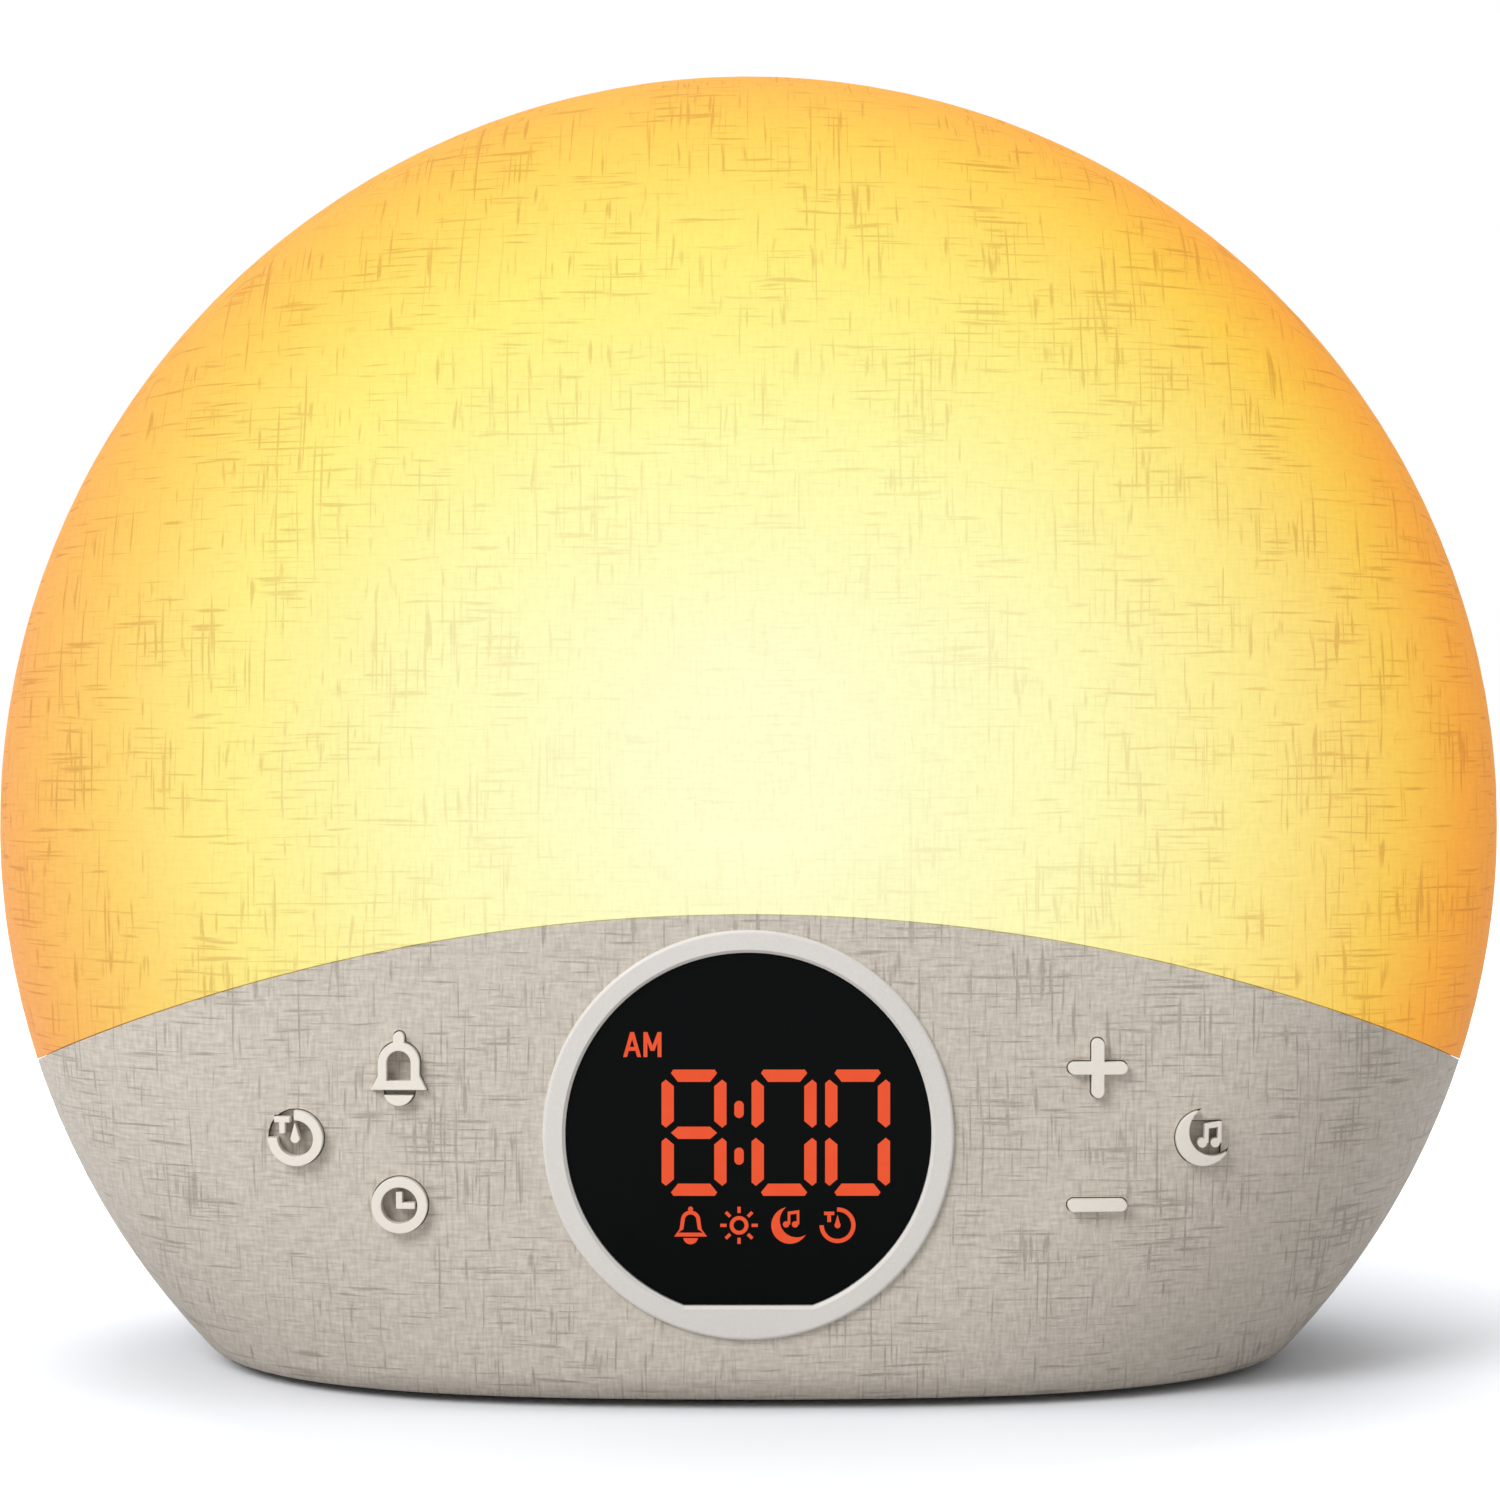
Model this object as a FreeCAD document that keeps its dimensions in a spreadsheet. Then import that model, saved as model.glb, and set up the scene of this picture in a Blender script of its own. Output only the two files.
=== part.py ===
import FreeCAD, Part
import math
import os

import Sketcher
from FreeCAD import Placement, Rotation, Vector

# Sunrise alarm clock, in millimetres.
# +Z is up, -Y is the side with the display, and the feet stand on z = 0.
# The front and rear shells meet in the plane y = 0, at the clock's widest ring.

SIZES = {
    # The round body: a turned disc on edge, with a dome and a shoulder on each side
    "body_radius": 105.0,
    "circle_height": 74.8,
    "front_dome_radius": 975.0,
    "front_shoulder": 44.0,
    "rear_dome_radius": 485.0,
    "rear_shoulder": 42.0,
    "base_edge_radius": 6.0,
    "wall": 2.4,
    "seam_gap": 0.3,
    "fit_gap": 0.2,
    # The arched line between the glowing dome and the grey housing
    "split_radius": 233.0,
    "split_height": 64.2,
    "split_gap": 0.15,
    "ledge_overlap": 3.0,
    # The lip of the rear shell that goes inside the front shells
    "lip_thickness": 1.2,
    "lip_depth": 3.0,
    "lip_root": 4.0,
    # Rubber feet
    "foot_height": 0.8,
    "foot_radius": 6.0,
    "foot_seat": 0.8,
    "foot_chamfer": 0.4,
    "foot_spread": 46.0,
    "foot_stance": 16.0,
    # Display
    "display_height": 36.0,
    "bezel_radius": 26.3,
    "bezel_neck_radius": 25.2,
    "bezel_proud": 0.7,
    "bezel_rounding": 0.45,
    "window_bevel": 0.4,
    "bezel_depth": 5.8,
    "window_radius": 23.4,
    "window_flat": 21.9,
    "mask_recess": 0.35,
    "mask_back": 4.2,
    "mask_gap": 0.1,
    # Lit digits
    "digit_height": 16.2,
    "digit_width": 8.3,
    "digit_middle": 0.3,
    "segment_thickness": 1.57,
    "level_tip": 2.95,
    "level_tip_depth": 0.45,
    "level_outer": 2.65,
    "level_inner": 2.05,
    "upright_top": 1.28,
    "upright_foot": 0.65,
    "upright_tip_inset": 0.55,
    "upright_outer_drop": 0.45,
    "upright_inner_drop": 0.85,
    "first_digit": -6.95,
    "second_digit": 4.55,
    "third_digit": 13.95,
    "colon_place": -1.2,
    "colon_rise": 3.0,
    "colon_width": 1.2,
    "colon_height": 2.2,
    "letter_left": -16.0,
    "letter_foot": 10.0,
    "letter_height": 3.2,
    "letter_width": 2.3,
    "letter_pitch": 2.6,
    "letter_stroke": 0.5,
    "sign_height": -11.6,
    "bell_sign_place": -7.4,
    "sun_sign_place": -1.2,
    "moon_sign_place": 5.1,
    "timer_sign_place": 11.4,
    "sign_stroke": 0.5,
    "moon_sign_scale": 0.66,
    "note_sign_scale": 0.68,
    "note_sign_shift": 0.36,
    "note_sign_rise": 0.53,
    "timer_sign_scale": 0.64,
    "timer_sign_bore": 2.75,
    "sun_radius": 1.2,
    "sun_ray_start": 1.6,
    "sun_ray_end": 2.4,
    "sun_ray_width": 0.42,
    "bell_sign_rim": 2.1,
    "bell_sign_foot": 1.45,
    "bell_sign_hip": 1.42,
    "bell_sign_hip_level": 0.5,
    "bell_sign_crown": 1.25,
    "bell_sign_crown_level": 0.65,
    "bell_sign_knob": 0.32,
    "bell_sign_knob_level": 2.1,
    "bell_sign_clapper": 0.95,
    "bell_sign_clapper_level": 1.5,
    # Push keys
    "key_proud": 1.3,
    "key_recess": 0.7,
    "key_gap": 0.15,
    "key_play": 0.15,
    "key_flange_margin": 1.0,
    "key_flange_back": 7.8,
    "post_radius": 1.8,
    "upper_key_height": 44.6,
    "lower_key_height": 27.0,
    "outer_key_height": 35.5,
    "inner_key_place": 44.6,
    "outer_key_place": 58.0,
    # Key symbols
    "ring_radius": 3.6,
    "ring_bore": 2.35,
    "hand_width": 0.8,
    "hand_rise": 1.75,
    "hand_reach": 2.0,
    "timer_cut": 0.1,
    "timer_bar_left": 2.7,
    "timer_bar_right": 0.65,
    "timer_bar_top": 2.75,
    "timer_bar_height": 0.7,
    "timer_stem_width": 0.75,
    "timer_stem_foot": 0.65,
    "needle_radius": 0.6,
    "needle_tip": 2.1,
    "bell_radius": 2.65,
    "bell_crown": 0.7,
    "bell_flare": 0.95,
    "bell_rim_foot": 2.75,
    "bell_rim_width": 7.1,
    "bell_mouth_radius": 1.55,
    "bell_mouth_foot": 1.6,
    "knob_radius": 0.7,
    "knob_height": 3.95,
    "clapper_radius": 1.95,
    "clapper_height": 2.85,
    "clapper_top": 3.45,
    "sign_bar_length": 7.6,
    "sign_bar_width": 1.6,
    "moon_radius": 3.6,
    "moon_shift": 0.3,
    "moon_bite_radius": 3.3,
    "moon_bite_shift": 1.65,
    "moon_bite_rise": 0.95,
    "note_stem_width": 0.5,
    "note_left": 0.4,
    "note_right": 2.6,
    "note_top": 2.1,
    "note_beam": 0.6,
    "note_slant": 0.3,
    "note_head_radius": 0.6,
    "note_head_shift": 0.3,
    "note_head_height": 0.6,
    # Tact switches
    "key_travel": 0.3,
    "switch_side": 6.0,
    "switch_height": 3.5,
    "stem_radius": 1.7,
    "stem_gap": 0.1,
    "stem_proud": 1.5,
    "stem_sunk": 0.6,
    # Main board
    "board_depth": 16.0,
    "board_thickness": 1.6,
    "board_half_width": 64.0,
    "board_foot": 20.0,
    "board_top": 52.0,
    "board_screw_place": 33.0,
    "board_screw_low": 24.0,
    "board_screw_high": 49.0,
    "boss_radius": 2.6,
    "small_screw_radius": 1.0,
    "small_screw_length": 6.0,
    "small_head_radius": 2.0,
    "small_head_height": 1.4,
    "screw_gap": 0.05,
    "chip_side": 10.0,
    "chip_height": 1.4,
    "sound_chip_side": 6.0,
    "sound_chip_place": 28.0,
    "sound_chip_level": 32.0,
    "crystal_place": 12.0,
    "crystal_length": 8.0,
    "crystal_radius": 1.6,
    "capacitor_radius": 3.2,
    "capacitor_height": 8.0,
    "capacitor_place": 40.0,
    "capacitor_pitch": 9.0,
    "header_width": 8.0,
    "header_side": 5.0,
    # Housing screws and the posts that take them
    "housing_post_radius": 3.5,
    "housing_tube_radius": 4.6,
    "housing_bore_radius": 3.0,
    "housing_screw_radius": 1.5,
    "housing_screw_length": 12.0,
    "housing_head_radius": 2.7,
    "housing_head_height": 2.0,
    "housing_seat": 4.0,
    "low_post_place": 70.0,
    "low_post_height": 30.0,
    "high_post_place": 78.0,
    "high_post_height": 125.0,
    # Lamp: reflector tray, lamp board and lamps
    "tray_wall": 1.6,
    "tray_back": 12.0,
    "tray_rim": 4.0,
    "tray_post_radius": 3.2,
    "tray_side_place": 70.0,
    "tray_side_height": 85.0,
    "tray_top_place": 40.0,
    "tray_top_height": 135.0,
    "lamp_board_half_width": 45.0,
    "lamp_board_foot": 70.0,
    "lamp_board_top": 98.0,
    "lamp_stand": 4.0,
    "lamp_screw_inset": 4.0,
    "lamp_side": 3.5,
    "lamp_height": 1.5,
    "lamp_pitch": 12.0,
    "lamp_row_inset": 7.0,
    # Speaker
    "speaker_height": 36.0,
    "speaker_radius": 27.0,
    "speaker_opening": 19.0,
    "speaker_seat": 9.5,
    "gasket_thickness": 0.5,
    "flange_thickness": 1.2,
    "basket_depth": 7.0,
    "basket_back_radius": 14.5,
    "basket_wall": 1.0,
    "magnet_radius": 14.0,
    "magnet_height": 7.0,
    "cone_thickness": 0.5,
    "cone_depth": 4.5,
    "dust_cap_radius": 6.0,
    "speaker_screw_circle": 23.5,
    "speaker_screw_length": 5.0,
    "grille_pitch": 5.2,
    "grille_hole_radius": 1.1,
    # Power inlet
    "jack_place": 45.0,
    "jack_height": 24.0,
    "jack_width": 9.0,
    "jack_length": 12.0,
    "jack_top": 5.5,
    "jack_face": 9.5,
    "jack_nose_radius": 4.2,
    "jack_nose_length": 3.4,
    "jack_bore_radius": 3.2,
    "jack_bore_depth": 9.0,
    "jack_pin_radius": 1.0,
    "jack_pin_length": 8.0,
    "power_board_half_width": 9.0,
    "power_board_length": 14.0,
    "power_board_back": 11.5,
    "power_screw_place": 7.0,
    "power_screw_inset": 3.0,
    # Backup cell
    "cell_place": -3.0,
    "cell_stance": 20.0,
    "cell_radius": 10.0,
    "cell_thickness": 3.2,
    "cell_gap": 0.3,
    "holder_side": 24.0,
    "holder_roof": 1.5,
    "door_thickness": 1.5,
    "door_length": 38.0,
    "door_width": 25.0,
    "door_place": 1.0,
    "door_screw_place": 15.5,
    "door_screw_sink": 0.8,
    # Leads between the boards
    "lead_radius": 1.1,
    "lamp_lead_place": -25.0,
    "lamp_lead_low": 46.0,
    "lamp_lead_high": 84.0,
    "lamp_lead_behind": 22.0,
    "speaker_lead_place": 20.0,
    "speaker_lead_low": 42.0,
    "speaker_lead_high": 46.0,
    "power_lead_height": 28.0,
}

doc = FreeCAD.newDocument("SunriseClock")
sheet = doc.addObject("Spreadsheet::Sheet", "Sizes")
for row, (alias, number) in enumerate(SIZES.items(), start=1):
    sheet.set(f"A{row}", alias)
    sheet.set(f"B{row}", str(number))
    sheet.setAlias(f"B{row}", alias)
doc.recompute()


class Dim:
    """A length: its number now, and the sheet expression that it follows."""

    def __init__(self, value, text):
        self.value = value
        self.text = text

    def __add__(self, other):
        other = dim(other)
        return Dim(self.value + other.value, f"({self.text} + {other.text})")

    def __sub__(self, other):
        other = dim(other)
        return Dim(self.value - other.value, f"({self.text} - {other.text})")

    def __mul__(self, other):
        other = dim(other)
        return Dim(self.value * other.value, f"{self.text} * {other.text}")

    def __truediv__(self, other):
        other = dim(other)
        return Dim(self.value / other.value, f"{self.text} / {other.text}")

    def __neg__(self):
        return self * -1

    __radd__ = __add__
    __rmul__ = __mul__


def dim(number):
    """A plain number as a Dim; a Dim stays as it is."""
    return number if isinstance(number, Dim) else Dim(number, f"({number})")


def root(square):
    return Dim(math.sqrt(square.value), f"sqrt({square.text})")


class SheetSizes:
    """Each size of the sheet by its name."""

    def __getattr__(self, alias):
        return Dim(float(SIZES[alias]), f"Sizes.{alias}")


S = SheetSizes()

ALONG_X = Rotation(Vector(0, 1, 0), 90)
ALONG_Y = Rotation(Vector(1, 0, 0), -90)
ALONG_Z = Rotation()
FACING_FRONT = Rotation(Vector(1, 0, 0), 90)


def bind(thing, **lengths):
    for name, length in lengths.items():
        length = dim(length)
        setattr(thing, name, length.value)
        thing.setExpression(name, length.text)


def move(thing, x, y, z, turn=ALONG_Z):
    """Put a thing at a place that follows the sheet."""
    x, y, z = dim(x), dim(y), dim(z)
    thing.Placement = Placement(Vector(x.value, y.value, z.value), turn)
    thing.setExpression("Placement.Base.x", x.text)
    thing.setExpression("Placement.Base.y", y.text)
    thing.setExpression("Placement.Base.z", z.text)


def block(name, x, y, z):
    """A box between a low and a high value on each axis."""
    piece = doc.addObject("Part::Box", name)
    bind(piece, Length=dim(x[1]) - x[0], Width=dim(y[1]) - y[0], Height=dim(z[1]) - z[0])
    move(piece, x[0], y[0], z[0])
    return piece


def rod(name, x, y, z, radius, axis="y"):
    """A round bar; the place on its own axis is a pair, from and to."""
    spans = {"x": x, "y": y, "z": z}
    start, end = spans[axis]
    spans[axis] = start
    piece = doc.addObject("Part::Cylinder", name)
    bind(piece, Radius=radius, Height=dim(end) - start)
    turns = {"x": ALONG_X, "y": ALONG_Y, "z": ALONG_Z}
    move(piece, spans["x"], spans["y"], spans["z"], turns[axis])
    return piece


def fuse(name, pieces):
    if len(pieces) == 1:
        return pieces[0]
    piece = doc.addObject("Part::MultiFuse", name)
    piece.Shapes = pieces
    piece.Refine = False
    return piece


def cut(name, base, tools):
    """Base less every tool."""
    tool = tools[0] if len(tools) == 1 else group(name + "_tools", tools)
    piece = doc.addObject("Part::Cut", name)
    piece.Base = base
    piece.Tool = tool
    piece.Refine = False
    return piece


def common(name, pieces):
    """What all the pieces share, taken pair by pair."""
    shared = pieces[0]
    for number, other in enumerate(pieces[1:], start=1):
        piece = doc.addObject("Part::Common", name if number == len(pieces) - 1 else f"{name}_{number}")
        piece.Base = shared
        piece.Tool = other
        piece.Refine = False
        shared = piece
    return shared


def group(name, pieces):
    """Separate solids in one node."""
    piece = doc.addObject("Part::Compound", name)
    piece.Links = pieces
    return piece


def origin_plane(body, role):
    return [plane for plane in body.Origin.OriginFeatures if plane.Role == role][0]


def pin_corner(sketch, edge, end, corner):
    """Hold one end of a sketch edge at a corner that follows the sheet."""
    for kind, length in zip(("DistanceX", "DistanceY"), corner):
        length = dim(length)
        index = sketch.addConstraint(Sketcher.Constraint(kind, -1, 1, edge, end, length.value))
        sketch.setExpression(f"Constraints[{index}]", length.text)


def draw(sketch, corners, arcs=None):
    """A closed outline of straight edges; arcs gives the centre and radius of each round one.

    A round edge runs counter-clockwise from its own corner to the next.
    """
    arcs = arcs or {}
    points = [Vector(dim(x).value, dim(y).value, 0) for x, y in corners]
    for edge, start in enumerate(points):
        end = points[(edge + 1) % len(points)]
        if edge in arcs:
            centre, radius = arcs[edge]
            middle = Vector(dim(centre[0]).value, dim(centre[1]).value, 0)
            angles = [math.atan2(point.y - middle.y, point.x - middle.x) for point in (start, end)]
            circle = Part.Circle(middle, Vector(0, 0, 1), dim(radius).value)
            sketch.addGeometry(Part.ArcOfCircle(circle, *angles), False)
        else:
            sketch.addGeometry(Part.LineSegment(start, end), False)
    for edge, corner in enumerate(corners):
        pin_corner(sketch, edge, 1, corner)
        sketch.addConstraint(Sketcher.Constraint("Coincident", edge, 2, (edge + 1) % len(corners), 1))
        if edge in arcs:
            radius = dim(arcs[edge][1])
            index = sketch.addConstraint(Sketcher.Constraint("Radius", edge, radius.value))
            sketch.setExpression(f"Constraints[{index}]", radius.text)


def body_sketch(body, name, role, corners, arcs=None):
    sketch = body.newObject("Sketcher::SketchObject", name)
    sketch.AttachmentSupport = [(origin_plane(body, role), "")]
    sketch.MapMode = "FlatFace"
    draw(sketch, corners, arcs)
    return sketch


def turned(name, corners, place, axis="y", arcs=None):
    """A turned piece: its half section, in radius and height, spun about Y or Z."""
    body = doc.addObject("PartDesign::Body", name)
    role = {"y": "XY_Plane", "z": "XZ_Plane"}[axis]
    sketch = body_sketch(body, name + "_section", role, corners, arcs)
    spin = body.newObject("PartDesign::Revolution", name + "_spin")
    spin.Profile = sketch
    spin.ReferenceAxis = (sketch, ["V_Axis"])
    spin.Angle = 360
    sketch.Visibility = False
    move(body, *place)
    return body


def prism(name, x, z, corners, front, back):
    """A straight-sided outline in the display's plane, made solid from front to back."""
    sketch = doc.addObject("Sketcher::SketchObject", name + "_outline")
    draw(sketch, corners)
    move(sketch, x, front, z, FACING_FRONT)
    piece = doc.addObject("Part::Extrusion", name)
    piece.Base = sketch
    piece.DirMode = "Custom"
    piece.Dir = Vector(0, 1, 0)
    piece.Solid = True
    bind(piece, LengthFwd=dim(back) - front)
    return piece


# Places that several pieces share
front_hub = S.body_radius - S.front_shoulder
rear_hub = S.body_radius - S.rear_shoulder
front_dome_shift = root((S.front_dome_radius - S.front_shoulder) * (S.front_dome_radius - S.front_shoulder)
                        - front_hub * front_hub)
rear_dome_shift = root((S.rear_dome_radius - S.rear_shoulder) * (S.rear_dome_radius - S.rear_shoulder)
                       - rear_hub * rear_hub)
front_depth = S.front_dome_radius - front_dome_shift
rear_depth = S.rear_dome_radius - rear_dome_shift
far = S.body_radius * 2
base_drop = S.circle_height - S.foot_height
base_inside = S.foot_height + S.wall
board_front = S.board_depth - front_depth
board_back = board_front + S.board_thickness
mask_back = S.mask_back - front_depth
split_centre = S.split_height - S.split_radius


def clock_form(name, inset):
    """The closed outer form of the clock, drawn in by inset all over."""
    front_arc = S.front_shoulder - inset
    rear_arc = S.rear_shoulder - inset
    front_reach = S.front_dome_radius - S.front_shoulder
    rear_reach = S.rear_dome_radius - S.rear_shoulder
    section = [
        (0, inset - front_depth),
        (front_hub + front_arc * front_hub / front_reach, -(front_arc * front_dome_shift / front_reach)),
        (S.body_radius - inset, 0),
        (rear_hub + rear_arc * rear_hub / rear_reach, rear_arc * rear_dome_shift / rear_reach),
        (0, rear_depth - inset),
    ]
    arcs = {
        0: ((0, front_dome_shift), S.front_dome_radius - inset),
        1: ((front_hub, 0), front_arc),
        2: ((rear_hub, 0), rear_arc),
        3: ((0, -rear_dome_shift), S.rear_dome_radius - inset),
    }
    body = turned(name, section, (0, 0, S.circle_height), arcs=arcs)
    floor = inset - base_drop
    below = [(-far, -far), (far, -far), (far, floor), (-far, floor)]
    sketch = body_sketch(body, name + "_base", "XZ_Plane", below)
    base_cut = body.newObject("PartDesign::Pocket", name + "_base_cut")
    base_cut.Profile = sketch
    base_cut.Type = "ThroughAll"
    base_cut.SideType = "Symmetric"
    sketch.Visibility = False
    doc.recompute()
    rim = [f"Edge{number}" for number, edge in enumerate(base_cut.Shape.Edges, start=1)
           if all(abs(vertex.Point.z - floor.value) < 1e-4 for vertex in edge.Vertexes)]
    rounding = body.newObject("PartDesign::Fillet", name + "_base_rounding")
    rounding.Base = (base_cut, rim)
    bind(rounding, Radius=S.base_edge_radius - inset)
    doc.recompute()
    return body


outer_form = clock_form("outer_form", dim(0))
middle_form = clock_form("middle_form", S.wall / 2)
inner_form = clock_form("inner_form", S.wall)
lip_outer_inset = S.wall + S.fit_gap
lip_inner_inset = lip_outer_inset + S.lip_thickness
tray_inset = lip_inner_inset + S.fit_gap
lip_outer_form = clock_form("lip_outer_form", lip_outer_inset)
lip_inner_form = clock_form("lip_inner_form", lip_inner_inset)
tray_outer_form = clock_form("tray_outer_form", tray_inset)
tray_inner_form = clock_form("tray_inner_form", tray_inset + S.tray_wall)
key_top_form = clock_form("key_top_form", -S.key_proud)
key_floor_form = clock_form("key_floor_form", S.key_recess)
key_flange_form = clock_form("key_flange_form", S.wall + S.key_play)
mask_front_form = clock_form("mask_front_form", S.mask_recess)

wall_form = cut("wall_form", outer_form, [inner_form])


def slab(name, start, end):
    """Everything between two planes across the Y axis."""
    return block(name, (-far, far), (start, end), (-far, far))


def under_arch(name, radius):
    """Everything under an arch about the split line's own centre."""
    return rod(name, 0, (-far, far), split_centre, radius)


def mirrored(place, height):
    """The same place left and right."""
    return [(-place, height), (place, height)]


low_posts = mirrored(S.low_post_place, S.low_post_height)
high_posts = mirrored(S.high_post_place, S.high_post_height)
board_screw_spots = (mirrored(S.board_screw_place, S.board_screw_low)
                     + mirrored(S.board_screw_place, S.board_screw_high))
tray_screw_spots = (mirrored(S.tray_side_place, S.tray_side_height)
                    + mirrored(S.tray_top_place, S.tray_top_height))
lamp_screw_place = S.lamp_board_half_width - S.lamp_screw_inset
lamp_screw_spots = (mirrored(lamp_screw_place, S.lamp_board_foot + S.lamp_screw_inset)
                    + mirrored(lamp_screw_place, S.lamp_board_top - S.lamp_screw_inset))
speaker_screw_offset = S.speaker_screw_circle / root(dim(2))
speaker_screw_spots = (mirrored(speaker_screw_offset, S.speaker_height - speaker_screw_offset)
                       + mirrored(speaker_screw_offset, S.speaker_height + speaker_screw_offset))
foot_spots = [(side * S.foot_spread, stance * S.foot_stance) for side in (-1, 1) for stance in (-1, 1)]


def rods(name, spots, y, radius):
    """One bar along Y at each spot."""
    return [rod(f"{name}_{number}", x, y, z, radius) for number, (x, z) in enumerate(spots, start=1)]


class Icon:
    """Draws one symbol's solids about its own centre, from a front plane to a back plane.

    Scale shrinks the symbol and grow makes its outline wider all round.
    """

    def __init__(self, name, x, z, front, back, scale=None, grow=None):
        self.name = name
        self.x = x
        self.z = z
        self.front = front
        self.back = back
        self.scale = scale or dim(1)
        self.grow = grow or dim(0)

    def bar(self, name, x, z):
        """An upright rectangle, from and to on each axis."""
        return block(f"{self.name}_{name}",
                     (self.x + self.scale * x[0] - self.grow, self.x + self.scale * x[1] + self.grow),
                     (self.front, self.back),
                     (self.z + self.scale * z[0] - self.grow, self.z + self.scale * z[1] + self.grow))

    def disc(self, name, x, z, radius, grow=1):
        return rod(f"{self.name}_{name}", self.x + self.scale * x, (self.front, self.back),
                   self.z + self.scale * z, self.scale * radius + self.grow * grow)

    def shape(self, name, corners):
        scaled = [(self.scale * x, self.scale * z) for x, z in corners]
        return prism(f"{self.name}_{name}", self.x, self.z, scaled, self.front, self.back)

    def slot(self, name, length, width, upright=False):
        """A bar with round ends, centred."""
        reach = (length - width) / 2
        half = width / 2
        if upright:
            ends = [(0, -reach), (0, reach)]
            middle = self.bar(name + "_middle", (-half, half), (-reach, reach))
        else:
            ends = [(-reach, 0), (reach, 0)]
            middle = self.bar(name + "_middle", (-reach, reach), (-half, half))
        caps = [self.disc(f"{name}_end_{number}", x, z, half) for number, (x, z) in enumerate(ends)]
        return [middle] + caps


def bell_outline(icon):
    """The bell's silhouette with its clapper and the gap between them."""
    half_rim = S.bell_rim_width / 2
    flare_start = S.bell_radius + icon.grow / icon.scale
    rim_end = half_rim + icon.grow / icon.scale
    rim_foot = -(S.bell_rim_foot + icon.grow / icon.scale)
    return [
        icon.disc("crown", 0, S.bell_crown, S.bell_radius),
        icon.bar("waist", (-S.bell_radius, S.bell_radius), (-S.bell_rim_foot, S.bell_crown)),
        icon.shape("flare", [(-rim_end, rim_foot), (rim_end, rim_foot),
                             (flare_start, -S.bell_flare), (-flare_start, -S.bell_flare)]),
        icon.disc("knob", 0, S.knob_height, S.knob_radius),
        icon.bar("neck", (-S.knob_radius, S.knob_radius), (S.bell_crown, S.knob_height)),
    ]


def bell_clapper(icon):
    ball = icon.disc("clapper_ball", 0, -S.clapper_height, S.clapper_radius)
    under = icon.bar("under_rim", (-S.bell_rim_width, S.bell_rim_width), (-S.bell_rim_width, -S.clapper_top))
    return common(icon.name + "_clapper", [ball, under])


def bell_solids(icon):
    full = fuse(icon.name + "_bell_full", bell_outline(icon))
    mouth = fuse(icon.name + "_mouth", [
        icon.disc("mouth_arch", 0, S.bell_crown, S.bell_mouth_radius),
        icon.bar("mouth_foot", (-S.bell_mouth_radius, S.bell_mouth_radius),
                 (-S.bell_mouth_foot, S.bell_crown)),
    ])
    return [cut(icon.name + "_bell", full, [mouth]), bell_clapper(icon)]


def bell_hole(icon):
    return bell_outline(icon) + [icon.disc("clapper_hole", 0, -S.clapper_height, S.clapper_radius)]


def ring(icon, bore=S.ring_bore):
    return cut(icon.name + "_ring", icon.disc("ring_full", 0, 0, S.ring_radius),
               [icon.disc("ring_bore", 0, 0, bore)])


def ring_hole(icon):
    return [icon.disc("ring_hole", 0, 0, S.ring_radius)]


def clock_solids(icon):
    half = S.hand_width / 2
    return [
        ring(icon),
        icon.bar("hour_hand", (-half, S.hand_reach), (-half, half)),
        icon.bar("minute_hand", (-half, half), (-half, S.hand_rise)),
    ]


def timer_letter(icon):
    """The bar and stem that stand in the open quarter of the timer's ring."""
    bar_middle = (S.timer_bar_left + S.timer_bar_right) / 2
    bar_foot = S.timer_bar_top - S.timer_bar_height
    half_stem = S.timer_stem_width / 2
    return [
        icon.bar("top_bar", (-S.timer_bar_left, -S.timer_bar_right), (bar_foot, S.timer_bar_top)),
        icon.bar("stem", (-bar_middle - half_stem, half_stem - bar_middle), (S.timer_stem_foot, bar_foot)),
    ]


def timer_solids(icon, bore=S.ring_bore):
    quarter = icon.bar("open_quarter", (-S.bell_rim_width, -S.timer_cut), (0, S.bell_rim_width))
    open_ring = cut(icon.name + "_open_ring", ring(icon, bore), [quarter])
    tip = icon.shape("needle_tip", [(-S.needle_radius, 0), (S.needle_radius, 0), (0, S.needle_tip)])
    needle = fuse(icon.name + "_needle", [icon.disc("needle_ball", 0, 0, S.needle_radius), tip])
    return [open_ring, fuse(icon.name + "_letter", timer_letter(icon)), needle]


def timer_hole(icon):
    return ring_hole(icon) + timer_letter(icon)[:1]


def plus_solids(icon):
    return (icon.slot("across", S.sign_bar_length, S.sign_bar_width)
            + icon.slot("upright", S.sign_bar_length, S.sign_bar_width, upright=True))


def minus_solids(icon):
    return icon.slot("across", S.sign_bar_length, S.sign_bar_width)


def crescent(icon):
    return cut(icon.name + "_crescent", icon.disc("moon", S.moon_shift, 0, S.moon_radius),
               [icon.disc("bite", S.moon_bite_shift, S.moon_bite_rise, S.moon_bite_radius, grow=-1)])


def note_solids(icon):
    left = (S.note_left, S.note_left + S.note_stem_width)
    right = (S.note_right - S.note_stem_width, S.note_right)
    stem_foot = -S.note_head_height
    heads = [(stem[0] - S.note_head_shift, stem_foot) for stem in (left, right)]
    left_top = S.note_top - S.note_slant
    beam = [(S.note_left, left_top - S.note_beam), (S.note_right, S.note_top - S.note_beam),
            (S.note_right, S.note_top), (S.note_left, left_top)]
    parts = [
        icon.bar("left_stem", left, (stem_foot, left_top - S.note_beam / 2)),
        icon.bar("right_stem", right, (stem_foot, S.note_top - S.note_beam / 2)),
        icon.shape("beam", beam),
    ]
    parts += [icon.disc(f"head_{number}", x, z, S.note_head_radius) for number, (x, z) in enumerate(heads)]
    return fuse(icon.name + "_note", parts)


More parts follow.
